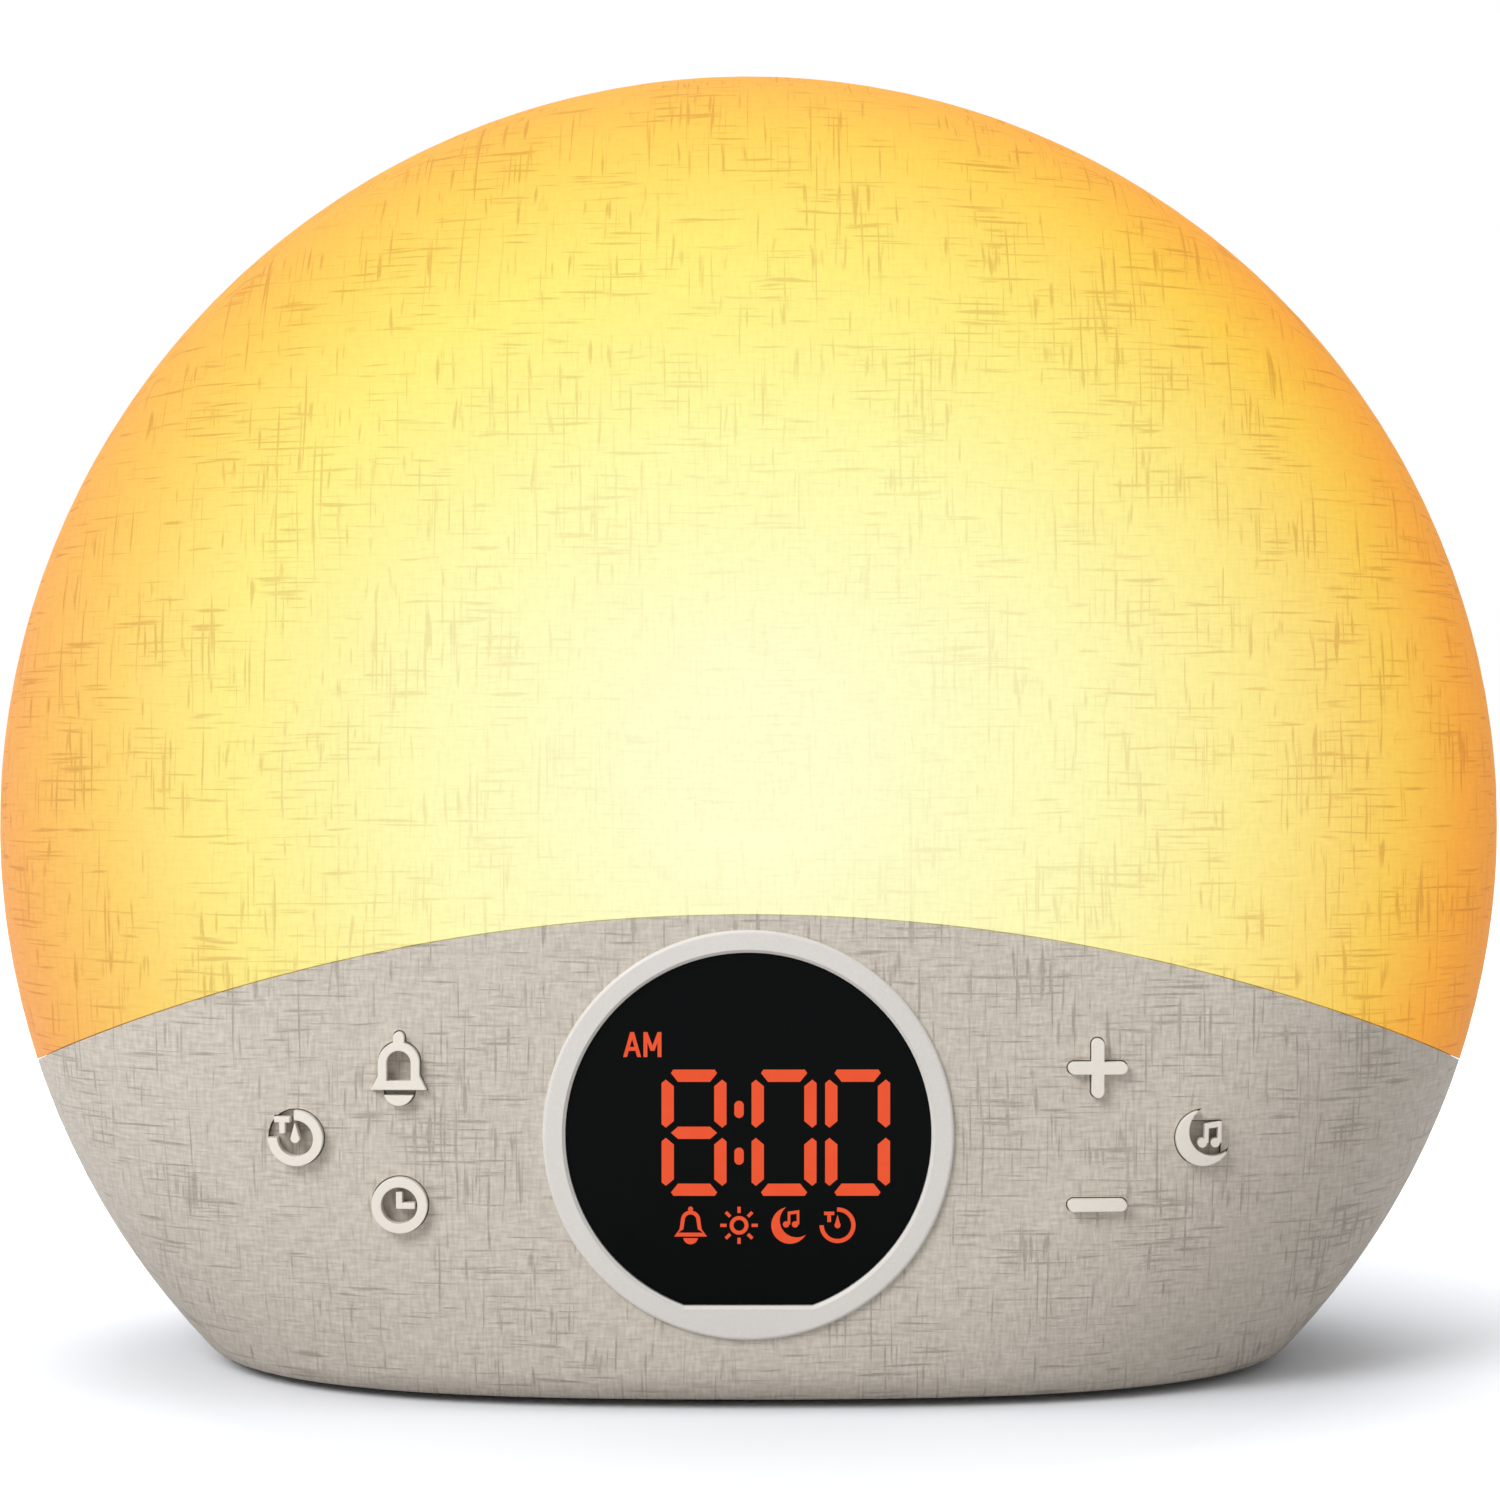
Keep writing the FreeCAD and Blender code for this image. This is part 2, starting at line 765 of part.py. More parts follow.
def moon_solids(icon):
    return [crescent(icon), note_solids(icon)]


def moon_hole(icon):
    """The crescent, and a plain field behind the note that reaches into it."""
    disc = icon.disc("field_disc", S.moon_shift, 0, S.moon_bite_radius)
    corner = icon.bar("field_corner", (-S.moon_radius, S.note_right), (-S.moon_radius, S.note_top))
    return [crescent(icon), common(icon.name + "_field", [disc, corner])]


KEYS = [
    ("timer_key", -S.outer_key_place, S.outer_key_height, timer_solids, timer_hole),
    ("alarm_key", -S.inner_key_place, S.upper_key_height, bell_solids, bell_hole),
    ("clock_key", -S.inner_key_place, S.lower_key_height, clock_solids, ring_hole),
    ("plus_key", S.inner_key_place, S.upper_key_height, plus_solids, plus_solids),
    ("minus_key", S.inner_key_place, S.lower_key_height, minus_solids, minus_solids),
    ("sleep_sound_key", S.outer_key_place, S.outer_key_height, moon_solids, moon_hole),
]
FLANGE_REACH = {
    "timer_key": (S.ring_radius, S.ring_radius),
    "alarm_key": (S.bell_rim_width / 2, S.clapper_height + S.clapper_radius),
    "clock_key": (S.ring_radius, S.ring_radius),
    "plus_key": (S.sign_bar_length / 2, S.sign_bar_length / 2),
    "minus_key": (S.sign_bar_length / 2, S.sign_bar_width),
    "sleep_sound_key": (S.moon_radius + S.moon_shift, S.moon_radius),
}

key_back = S.key_flange_back - front_depth
switch_front = board_front - S.switch_height
stem_front = switch_front - S.stem_proud


def key_cap(name, x, z, solids, hole):
    """A push key: its raised symbol, the sunk floor round it, a flange behind the wall and a post."""
    raised_icon = Icon(name + "_raised", x, z, -far, key_back)
    floor_icon = Icon(name + "_floor", x, z, -far, key_back)
    raised = fuse(name + "_symbol", solids(raised_icon))
    floor = fuse(name + "_plate", hole(floor_icon))
    reach_x, reach_z = FLANGE_REACH[name]
    flange = block(name + "_flange_blank",
                   (x - reach_x - S.key_flange_margin, x + reach_x + S.key_flange_margin),
                   (-far, key_back),
                   (z - reach_z - S.key_flange_margin, z + reach_z + S.key_flange_margin))
    post_start = key_back - S.key_play
    return fuse(name, [
        common(name + "_symbol_cut", [raised, key_top_form]),
        common(name + "_plate_cut", [floor, key_floor_form]),
        common(name + "_flange", [flange, key_flange_form]),
        rod(name + "_post", x, (post_start, stem_front), z, S.post_radius),
    ])


def switch_case(name, x, z):
    """A tact switch's body on the main board, with the bore that its stem moves in."""
    half = S.switch_side / 2
    case = block(name + "_block", (x - half, x + half), (switch_front, board_front), (z - half, z + half))
    bore_back = switch_front + S.stem_sunk + S.key_travel + S.fit_gap
    bore = rod(name + "_bore", x, (switch_front - S.fit_gap, bore_back), z, S.stem_radius + S.stem_gap)
    return cut(name + "_case", case, [bore])


def switch_stem(name, x, z):
    return rod(name, x, (stem_front, switch_front + S.stem_sunk), z, S.stem_radius)


def window_prism(name, radius, flat, front, back):
    """A round window's prism, cut flat at its bottom."""
    disc = rod(name + "_disc", 0, (front, back), S.display_height, radius)
    keep = block(name + "_keep", (-far, far), (front, back),
                 (S.display_height - flat, S.display_height + radius))
    return common(name, [disc, keep])


def front_edges(shape, nearest, furthest):
    """Names of the bezel's front edges whose points lie between two radii from its centre."""
    centre = Vector(0, front_dome_shift.value, S.circle_height.value)
    dome_radius = S.front_dome_radius.value + S.bezel_proud.value
    slack = 0.02
    names = []
    for number, edge in enumerate(shape.Edges, start=1):
        span = edge.LastParameter - edge.FirstParameter
        points = [edge.valueAt(edge.FirstParameter + span * part) for part in (0.2, 0.5, 0.8)]
        on_front = all(abs((point - centre).Length - dome_radius) < slack for point in points)
        reaches = [math.hypot(point.x, point.z - S.display_height.value) for point in points]
        if on_front and min(reaches) > nearest.value - slack and max(reaches) < furthest.value + slack:
            names.append(f"Edge{number}")
    return names


def display_bezel():
    """The pale ring: a head that lies on the housing and a neck through its hole."""
    bezel_back = S.bezel_depth - front_depth
    dome = doc.addObject("Part::Sphere", "bezel_dome")
    bind(dome, Radius=S.front_dome_radius + S.bezel_proud)
    move(dome, 0, front_dome_shift, S.circle_height)
    disc = rod("bezel_disc", 0, (-far, bezel_back), S.display_height, S.bezel_radius)
    window = window_prism("bezel_window", S.window_radius, S.window_flat, -far, far)
    ring_blank = cut("bezel_ring", common("bezel_blank", [disc, dome]), [window])
    doc.recompute()
    body = doc.addObject("PartDesign::Body", "bezel_body")
    body.BaseFeature = ring_blank
    doc.recompute()
    blank = body.Tip
    rounding = body.newObject("PartDesign::Fillet", "bezel_rounding")
    rounding.Base = (blank, front_edges(blank.Shape, S.bezel_radius, S.bezel_radius))
    bind(rounding, Radius=S.bezel_rounding)
    doc.recompute()
    bevel = body.newObject("PartDesign::Chamfer", "bezel_window_bevel")
    bevel.Base = (rounding, front_edges(rounding.Shape, dim(0), S.window_radius))
    bind(bevel, Size=S.window_bevel)
    neck = rod("bezel_neck", 0, (-far, far), S.display_height, S.bezel_neck_radius)
    behind_head = cut("behind_bezel_head", outer_form, [neck])
    return cut("display_bezel", body, [behind_head])


def level_corners(side):
    """A level lit bar's outline about its outer edge; side is 1 where its outer edge is the upper one."""
    outer = [(-S.level_outer, 0), (S.level_outer, 0)]
    inner = [(S.level_inner, -S.segment_thickness * side), (-S.level_inner, -S.segment_thickness * side)]
    tip_level = -S.level_tip_depth * side
    return outer + [(S.level_tip, tip_level)] + inner + [(-S.level_tip, tip_level)]


def digit(name, x, segments):
    """A seven-segment digit; segments names the bars that are lit."""
    half_w = S.digit_width / 2
    half_h = S.digit_height / 2
    half_thick = S.segment_thickness / 2
    top = half_h - S.upright_top
    inner_w = half_w - S.segment_thickness
    upright = [
        (half_w, S.upright_foot + S.upright_outer_drop), (half_w, top - S.upright_outer_drop),
        (half_w - S.upright_tip_inset, top), (inner_w, top - S.upright_inner_drop),
        (inner_w, S.upright_foot + S.upright_inner_drop), (half_w - S.upright_tip_inset, S.upright_foot),
    ]
    middle = [(-S.level_tip, 0), (-S.level_inner, -half_thick), (S.level_inner, -half_thick),
              (S.level_tip, 0), (S.level_inner, half_thick), (-S.level_inner, half_thick)]
    outlines = {
        "top": [(px, half_h + pz) for px, pz in level_corners(1)],
        "foot": [(px, -half_h + pz) for px, pz in level_corners(-1)],
        "middle": middle,
        "top_right": upright,
        "top_left": [(-px, pz) for px, pz in upright],
        "low_right": [(px, -pz) for px, pz in upright],
        "low_left": [(-px, -pz) for px, pz in upright],
    }
    icon = Icon(name, x, S.display_height + S.digit_middle, -far, mask_back)
    return [icon.shape(segment, outlines[segment]) for segment in segments]


def colon():
    height = S.display_height + S.digit_middle
    dots = []
    for name, side in (("upper_dot", 1), ("lower_dot", -1)):
        icon = Icon(name, S.colon_place, height + side * S.colon_rise, -far, mask_back)
        dots.append(fuse(name, icon.slot("slot", S.colon_height, S.colon_width, upright=True)))
    return dots


def stroke(icon, name, start, end, width):
    """A letter's slanted stroke of constant width across, from its foot to its top."""
    return icon.shape(name, [(start, 0), (start + width, 0), (end + width, S.letter_height),
                             (end, S.letter_height)])


def letters():
    """The two letters that mark the morning hours."""
    foot = S.display_height + S.letter_foot
    thick = S.letter_stroke
    wide = S.letter_width
    middle = (wide - thick) / 2
    first = Icon("letter_a", S.letter_left, foot, -far, mask_back)
    bar_foot = S.letter_height / 4
    quarter = wide / 4
    letter_a = fuse("letter_a", [
        stroke(first, "left", 0, middle, thick),
        stroke(first, "right", wide - thick, middle, thick),
        first.bar("bar", (quarter, wide - quarter), (bar_foot, bar_foot + thick)),
    ])
    second = Icon("letter_m", S.letter_left + S.letter_pitch, foot, -far, mask_back)
    letter_m = fuse("letter_m", [
        second.bar("left", (0, thick), (0, S.letter_height)),
        second.bar("right", (wide - thick, wide), (0, S.letter_height)),
        second.shape("left_slant", [(middle, S.letter_height / 4), (middle + thick, S.letter_height / 4),
                                    (thick, S.letter_height), (0, S.letter_height)]),
        second.shape("right_slant", [(middle, S.letter_height / 4), (middle + thick, S.letter_height / 4),
                                     (wide, S.letter_height), (wide - thick, S.letter_height)]),
    ])
    return [letter_a, letter_m]


def sun(icon):
    """A small ring with eight rays."""
    ring_solid = cut(icon.name + "_ring", icon.disc("full", 0, 0, S.sun_radius),
                     [icon.disc("bore", 0, 0, S.sun_radius - S.sign_stroke)])
    half = S.sun_ray_width / 2
    rays = []
    for number in range(8):
        angle = math.radians(45 * number)
        cos, sin = round(math.cos(angle), 9), round(math.sin(angle), 9)
        corners = [(S.sun_ray_start, -half), (S.sun_ray_end, -half), (S.sun_ray_end, half),
                   (S.sun_ray_start, half)]
        turned_corners = [(px * cos - pz * sin, px * sin + pz * cos) for px, pz in corners]
        rays.append(icon.shape(f"ray_{number}", turned_corners))
    return [ring_solid] + rays


def flared_bell(icon, name, inset):
    """A bell's silhouette with a flared skirt, drawn in by inset."""
    rim = S.bell_sign_rim - inset
    hip = S.bell_sign_hip - inset
    crown = S.bell_sign_crown - inset
    foot = inset - S.bell_sign_foot
    skirt = [(-rim, foot), (rim, foot), (hip, -S.bell_sign_hip_level), (crown, S.bell_sign_crown_level),
             (-crown, S.bell_sign_crown_level), (-hip, -S.bell_sign_hip_level)]
    return [icon.shape(name + "_skirt", skirt),
            icon.disc(name + "_crown", 0, S.bell_sign_crown_level, crown)]


def bell_sign(icon):
    """The display's bell: a thin flared outline with a knob, and its clapper under the rim."""
    knob = icon.disc("knob", 0, S.bell_sign_knob_level, S.bell_sign_knob)
    full = fuse(icon.name + "_full", flared_bell(icon, "outer", dim(0)) + [knob])
    mouth = fuse(icon.name + "_mouth", flared_bell(icon, "inner", S.sign_stroke))
    ball = icon.disc("clapper_ball", 0, -S.bell_sign_clapper_level, S.bell_sign_clapper)
    above = icon.bar("above_clapper", (-S.bell_sign_rim, S.bell_sign_rim),
                     (-S.bell_sign_foot - S.mask_gap * 2, S.bell_sign_rim))
    return [cut(icon.name + "_outline", full, [mouth]), cut(icon.name + "_clapper", ball, [above])]


def sign(name, place, scale=None):
    return Icon(name, place, S.display_height + S.sign_height, -far, mask_back, scale)


def lit_shapes():
    """Every lit shape of the display as a prism that runs out through the mask."""
    all_segments = ["top", "foot", "middle", "top_right", "top_left", "low_right", "low_left"]
    zero_segments = [segment for segment in all_segments if segment != "middle"]
    shapes = digit("first_digit", S.first_digit, all_segments)
    shapes += digit("second_digit", S.second_digit, zero_segments)
    shapes += digit("third_digit", S.third_digit, zero_segments)
    shapes += colon()
    shapes += letters()
    shapes += bell_sign(sign("bell_sign", S.bell_sign_place))
    shapes += sun(sign("sun_sign", S.sun_sign_place))
    shapes.append(crescent(sign("moon_sign", S.moon_sign_place, S.moon_sign_scale)))
    shapes.append(note_solids(Icon("note_sign", S.moon_sign_place - S.note_sign_shift,
                                   S.display_height + S.sign_height + S.note_sign_rise, -far, mask_back,
                                   S.note_sign_scale)))
    shapes += timer_solids(sign("timer_sign", S.timer_sign_place, S.timer_sign_scale), S.timer_sign_bore)
    return group("lit_shapes", shapes)


def screw_body(name, place, head_radius, head_height, shank_radius, length, direction, axis="y"):
    """A screw; direction is 1 where its shank points along the axis, else -1."""
    tip = shank_radius
    section = [(0, -head_height), (head_radius, -head_height), (head_radius, 0), (shank_radius, 0),
               (shank_radius, length - tip), (0, length)]
    if direction < 0:
        section = [(radius, -dim(height)) for radius, height in section]
    return turned(name, section, place, axis)


def small_screws(name, spots, seat, direction, length=S.small_screw_length):
    """Self-tapping screws whose heads sit on the plane y = seat."""
    return group(name, [
        screw_body(f"{name}_{number}", (x, seat, z), S.small_head_radius, S.small_head_height,
                   S.small_screw_radius, length, direction)
        for number, (x, z) in enumerate(spots, start=1)])


def pilot_holes(name, spots, seat, direction, length=S.small_screw_length):
    """Holes in the bosses for small screws, a little deeper than the shank."""
    depth = length + S.small_screw_radius
    span = (seat - S.fit_gap, seat + depth) if direction > 0 else (seat - depth, seat + S.fit_gap)
    return rods(name, spots, span, S.small_screw_radius + S.screw_gap)


key_holes = []
for key_name, key_x, key_z, key_solids, key_hole in KEYS:
    hole_icon = Icon(key_name + "_hole", key_x, key_z, -far, key_back - S.key_play, grow=S.key_gap)
    key_holes.append(fuse(key_name + "_hole", key_hole(hole_icon)))


def housing_posts(name, spots):
    """Front posts that the housing screws bite into, rooted in the front wall."""
    blanks = rods(name + "_blank", spots, (-far, -S.seam_gap), S.housing_post_radius)
    return [common(f"{name}_{number}", [blank, middle_form]) for number, blank in enumerate(blanks, start=1)]


def housing_pilots(name, spots):
    deep = S.housing_seat - S.housing_screw_length - S.housing_screw_radius
    return rods(name, spots, (deep, 0), S.housing_screw_radius + S.screw_gap)


front_space = slab("front_space", -far, dim(0))


def front_housing():
    """The grey lower front shell with its ledge behind the split line, bosses and holes."""
    arch = under_arch("housing_arch", S.split_radius - S.split_gap / 2)
    shell = common("housing_shell", [wall_form, front_space, arch])
    ledge_skin = cut("ledge_skin", inner_form, [lip_inner_form])
    ledge_space = slab("ledge_space", -far, -S.lip_depth - S.fit_gap)
    ledge_top = under_arch("ledge_top", S.split_radius + S.ledge_overlap)
    ledge_foot = under_arch("ledge_foot", S.split_radius - S.ledge_overlap)
    ledge = cut("ledge", common("ledge_band", [ledge_skin, ledge_space, ledge_top]), [ledge_foot])
    blanks = rods("board_boss_blank", board_screw_spots, (-far, board_front), S.boss_radius)
    bosses = [common(f"board_boss_{number}", [blank, middle_form])
              for number, blank in enumerate(blanks, start=1)]
    solid = fuse("housing_solid", [shell, ledge] + bosses + housing_posts("low_post", low_posts))
    display_hole = rod("display_hole", 0, (-far, mask_back + S.bezel_depth), S.display_height,
                       S.bezel_neck_radius + S.fit_gap)
    holes = key_holes + [display_hole]
    holes += pilot_holes("board_pilot", board_screw_spots, board_front, -1)
    holes += housing_pilots("low_pilot", low_posts)
    holes += foot_seats("front_foot_seat")
    return cut("front_housing", solid, holes)


def diffuser_dome():
    """The glowing upper front shell."""
    arch = under_arch("dome_arch", S.split_radius + S.split_gap / 2)
    shell = cut("dome_shell", common("front_wall", [wall_form, front_space]), [arch])
    solid = fuse("dome_solid", [shell] + housing_posts("high_post", high_posts))
    return cut("diffuser_dome", solid, housing_pilots("high_pilot", high_posts))


def foot_seats(name):
    """Round pockets in the base for the feet."""
    top = S.foot_height + S.foot_seat
    return [rod(f"{name}_{number}", x, y, (0, top), S.foot_radius + S.fit_gap / 2, axis="z")
            for number, (x, y) in enumerate(foot_spots, start=1)]


def rubber_feet():
    height = S.foot_height + S.foot_seat
    section = [(0, 0), (S.foot_radius - S.foot_chamfer, 0), (S.foot_radius, S.foot_chamfer),
               (S.foot_radius, height), (0, height)]
    return group("rubber_feet", [turned(f"foot_{number}", section, (x, y, 0), "z")
                                 for number, (x, y) in enumerate(foot_spots, start=1)])


def grille_holes():
    """Round holes before the speaker: one in the middle and three rings about it."""
    holes = []
    for ring_number in range(4):
        count = max(1, 6 * ring_number)
        for step in range(count):
            angle = 2 * math.pi * step / count
            x = S.grille_pitch * ring_number * round(math.sin(angle), 9)
            z = S.speaker_height + S.grille_pitch * ring_number * round(math.cos(angle), 9)
            holes.append(rod(f"grille_hole_{ring_number}_{step}", x, (speaker_seat, far), z,
                             S.grille_hole_radius))
    return holes


speaker_seat = rear_depth - S.speaker_seat
flange_front = speaker_seat - S.gasket_thickness - S.flange_thickness
tray_back_face = S.tray_back + S.tray_wall
jack_face = rear_depth - S.jack_face
power_board_top = S.jack_height - S.jack_top
power_screw_y = rear_depth - S.power_board_back - S.power_board_length + S.power_screw_inset
power_screw_spots = [(S.jack_place - S.power_screw_place, power_screw_y),
                     (S.jack_place + S.power_screw_place, power_screw_y)]
power_board_foot = power_board_top - S.board_thickness
door_top = S.foot_height + S.door_thickness
door_boss_top = base_inside + S.small_screw_length
all_posts = low_posts + high_posts


def rear_bosses():
    """Everything that stands on the inside of the rear wall, before its holes."""
    tubes = rods("tube_blank", all_posts, (S.seam_gap, far), S.housing_tube_radius)
    posts = rods("tray_post_blank", tray_screw_spots, (tray_back_face, far), S.tray_post_radius)
    seat_ring = rod("speaker_ring_blank", 0, (speaker_seat, far), S.speaker_height, S.speaker_radius)
    power_posts = [rod(f"power_post_blank_{number}", x, y, (0, power_board_foot), S.boss_radius, axis="z")
                   for number, (x, y) in enumerate(power_screw_spots, start=1)]
    door_boss = rod("door_boss_blank", S.door_screw_place, S.cell_stance, (0, door_boss_top),
                    S.boss_radius, axis="z")
    blanks = tubes + posts + [seat_ring] + power_posts + [door_boss]
    return [common(f"rear_boss_{number}", [blank, middle_form])
            for number, blank in enumerate(blanks, start=1)]


def rear_holes():
    """Everything cut from the rear shell."""
    holes = rods("screw_tube", all_posts, (S.housing_seat, far), S.housing_bore_radius)
    holes += rods("screw_hole", all_posts, (0, far), S.housing_screw_radius + S.fit_gap)
    holes += grille_holes()
    well = rod("speaker_well_blank", 0, (0, far), S.speaker_height, S.speaker_opening)
    holes.append(common("speaker_well", [well, inner_form]))
    holes.append(rod("jack_hole", S.jack_place, (jack_face, far), S.jack_height,
                     S.jack_nose_radius + S.fit_gap))
    holes += pilot_holes("tray_pilot", tray_screw_spots, tray_back_face, 1)
    holes += pilot_holes("speaker_pilot", speaker_screw_spots, flange_front, 1, S.speaker_screw_length)
    half_length = S.door_length / 2 + S.fit_gap
    half_width = S.door_width / 2 + S.fit_gap
    holes.append(block("door_recess", (S.door_place - half_length, S.door_place + half_length),
                       (S.cell_stance - half_width, S.cell_stance + half_width),
                       (0, door_top + S.fit_gap / 2)))
    holes.append(rod("cell_opening", S.cell_place, S.cell_stance, (0, base_inside + S.fit_gap),
                     S.cell_radius + S.cell_gap * 2, axis="z"))
    holes.append(rod("door_pilot", S.door_screw_place, S.cell_stance, (0, door_boss_top),
                     S.small_screw_radius + S.screw_gap, axis="z"))
    pilot_foot = power_board_foot - S.small_screw_length - S.small_screw_radius
    holes += [rod(f"power_pilot_{number}", x, y, (pilot_foot, power_board_foot + S.fit_gap),
                  S.small_screw_radius + S.screw_gap, axis="z")
              for number, (x, y) in enumerate(power_screw_spots, start=1)]
    holes += foot_seats("rear_foot_seat")
    return holes


def rear_housing():
    """The back shell with its lip, posts, speaker seat, grille, inlet hole and battery bay."""
    rear_space = slab("rear_space", S.seam_gap, far)
    shell = common("rear_shell", [wall_form, rear_space])
    lip_ring = cut("lip_ring", lip_outer_form, [lip_inner_form])
    lip = common("lip", [lip_ring, slab("lip_space", -S.lip_depth, S.lip_root)])
    root_ring = cut("root_ring", middle_form, [lip_inner_form])
    lip_foot = common("lip_foot", [root_ring, slab("root_space", S.seam_gap, S.lip_root)])
    solid = fuse("rear_solid", [shell, lip, lip_foot] + rear_bosses())
    return cut("rear_housing", solid, rear_holes())


def reflector_tray():
    """White tray behind the dome: an arched floor, a back wall and a low rim."""
    low_arch = under_arch("tray_low_arch", S.split_radius - S.tray_wall / 2)
    high_arch = under_arch("tray_high_arch", S.split_radius + S.tray_wall / 2)
    tray_space = slab("tray_space", -S.tray_rim, tray_back_face)
    hollow_space = slab("tray_hollow_space", -far, S.tray_back)
    floor_space = slab("tray_floor_space", -far, tray_back_face)
    full = cut("tray_full", common("tray_blank", [tray_outer_form, tray_space]), [low_arch])
    hollow = cut("tray_hollow", common("tray_hollow_blank", [tray_inner_form, hollow_space]), [high_arch])
    bowl = cut("tray_bowl", full, [hollow])
    floor_blank = common("tray_floor_blank", [tray_outer_form, floor_space, high_arch])
    floor = cut("tray_floor", floor_blank, [low_arch])
    stands = rods("lamp_stand", lamp_screw_spots, (S.tray_back - S.lamp_stand, tray_back_face),
                  S.tray_post_radius)
    solid = fuse("tray_solid", [bowl, floor] + stands)
    holes = rods("tray_post_hole", high_posts, (-far, far), S.housing_tube_radius + S.fit_gap * 2)
    holes += rods("tray_screw_hole", tray_screw_spots, (-far, far), S.small_screw_radius + S.fit_gap)
    holes += rods("lamp_pilot", lamp_screw_spots, (-far, far), S.small_screw_radius + S.screw_gap)
    holes.append(rod("tray_lead_hole", S.lamp_lead_place, (-far, far), S.lamp_lead_high,
                     S.lead_radius + S.fit_gap * 2))
    return cut("reflector_tray", solid, holes)


lamp_board_back = S.tray_back - S.lamp_stand
lamp_board_front = lamp_board_back - S.board_thickness


def lamp_board():
    plate = block("lamp_board_plate", (-S.lamp_board_half_width, S.lamp_board_half_width),
                  (lamp_board_front, lamp_board_back), (S.lamp_board_foot, S.lamp_board_top))
    return cut("lamp_board", plate, rods("lamp_board_hole", lamp_screw_spots, (-far, far),
                                         S.small_screw_radius + S.fit_gap))


def lamps():
    """Two rows of small lamps on the board's front."""
    half = S.lamp_side / 2
    rows = (S.lamp_board_foot + S.lamp_row_inset, S.lamp_board_top - S.lamp_row_inset)
    pieces = []
    for row_number, z in enumerate(rows):
        for column in range(-3, 4):
            x = S.lamp_pitch * column
            pieces.append(block(f"lamp_{row_number}_{column + 3}", (x - half, x + half),
                                (lamp_board_front - S.lamp_height, lamp_board_front),
                                (z - half, z + half)))
    return group("lamps", pieces)


def main_board():
    plate = block("main_board_plate", (-S.board_half_width, S.board_half_width),
                  (board_front, board_back), (S.board_foot, S.board_top))
    return cut("main_board", plate, rods("main_board_hole", board_screw_spots, (-far, far),
                                         S.small_screw_radius + S.fit_gap))


def on_board_back(name, x, z, width, height, tall):
    """A component's block on the main board's rear face."""
    return block(name, (x - width / 2, x + width / 2), (board_back, board_back + tall),
                 (z - height / 2, z + height / 2))


board_middle = (S.board_foot + S.board_top) / 2
header_spots = [
    (S.lamp_lead_place, S.lamp_lead_low),
    (S.speaker_lead_place, S.speaker_lead_low),
    (S.jack_place, S.power_lead_height),
]


def board_components():
    """The pieces soldered to the main board's rear."""
    controller = on_board_back("controller_chip", dim(0), board_middle, S.chip_side, S.chip_side,
                               S.chip_height)
    sound = on_board_back("sound_chip", S.sound_chip_place, S.sound_chip_level, S.sound_chip_side,
                          S.sound_chip_side, S.chip_height)
    crystal = rod("crystal", -S.crystal_place, (board_back, board_back + S.crystal_length), board_middle,
                  S.crystal_radius)
    can_spots = [(-S.capacitor_place - S.capacitor_pitch * number, board_middle) for number in range(3)]
    cans = rods("capacitor", can_spots, (board_back, board_back + S.capacitor_height), S.capacitor_radius)
    headers = [on_board_back(f"header_{number}", x, z, S.header_width, S.header_side, S.header_side)
               for number, (x, z) in enumerate(header_spots)]
    return [controller, sound, crystal, group("capacitors", cans), group("wire_headers", headers)]


def speaker_parts():
    """Speaker: gasket, frame with its basket, magnet and paper cone, all turned about Y."""
    place = (0, 0, S.speaker_height)
    gasket_section = [(S.speaker_opening, speaker_seat - S.gasket_thickness),
                      (S.speaker_radius - S.fit_gap, speaker_seat - S.gasket_thickness),
                      (S.speaker_radius - S.fit_gap, speaker_seat), (S.speaker_opening, speaker_seat)]
    flange_back = speaker_seat - S.gasket_thickness
    basket_front = flange_front - S.basket_depth
    opening = S.speaker_opening - S.basket_wall
    back_opening = S.basket_back_radius - S.basket_wall
    frame_section = [
        (0, basket_front), (S.basket_back_radius, basket_front), (S.speaker_opening, flange_front),
        (S.speaker_radius, flange_front), (S.speaker_radius, flange_back), (opening, flange_back),
        (opening, flange_front), (back_opening, basket_front + S.basket_wall),
        (0, basket_front + S.basket_wall),
    ]
    magnet_section = [(0, basket_front - S.magnet_height), (S.magnet_radius, basket_front - S.magnet_height),
                      (S.magnet_radius, basket_front), (0, basket_front)]
    cap = S.dust_cap_radius
    cone_deep = flange_back - S.cone_depth
    cone_section = [
        (0, cone_deep), (cap, cone_deep), (opening - S.cone_thickness, flange_back - S.cone_thickness),
        (opening, flange_back - S.cone_thickness), (opening, flange_back),
        (opening - S.cone_thickness, flange_back), (cap, cone_deep + S.cone_thickness),
        (0, cone_deep + S.cone_thickness * 3),
    ]
    screw_holes = rods("speaker_screw_hole", speaker_screw_spots, (flange_front - S.fit_gap, far),
                       S.small_screw_radius + S.fit_gap)
    return [
        cut("speaker_gasket", turned("gasket_ring", gasket_section, place), screw_holes),
        cut("speaker_frame", turned("speaker_pan", frame_section, place), screw_holes),
        turned("speaker_magnet", magnet_section, place),
        turned("speaker_cone", cone_section, place),
    ]


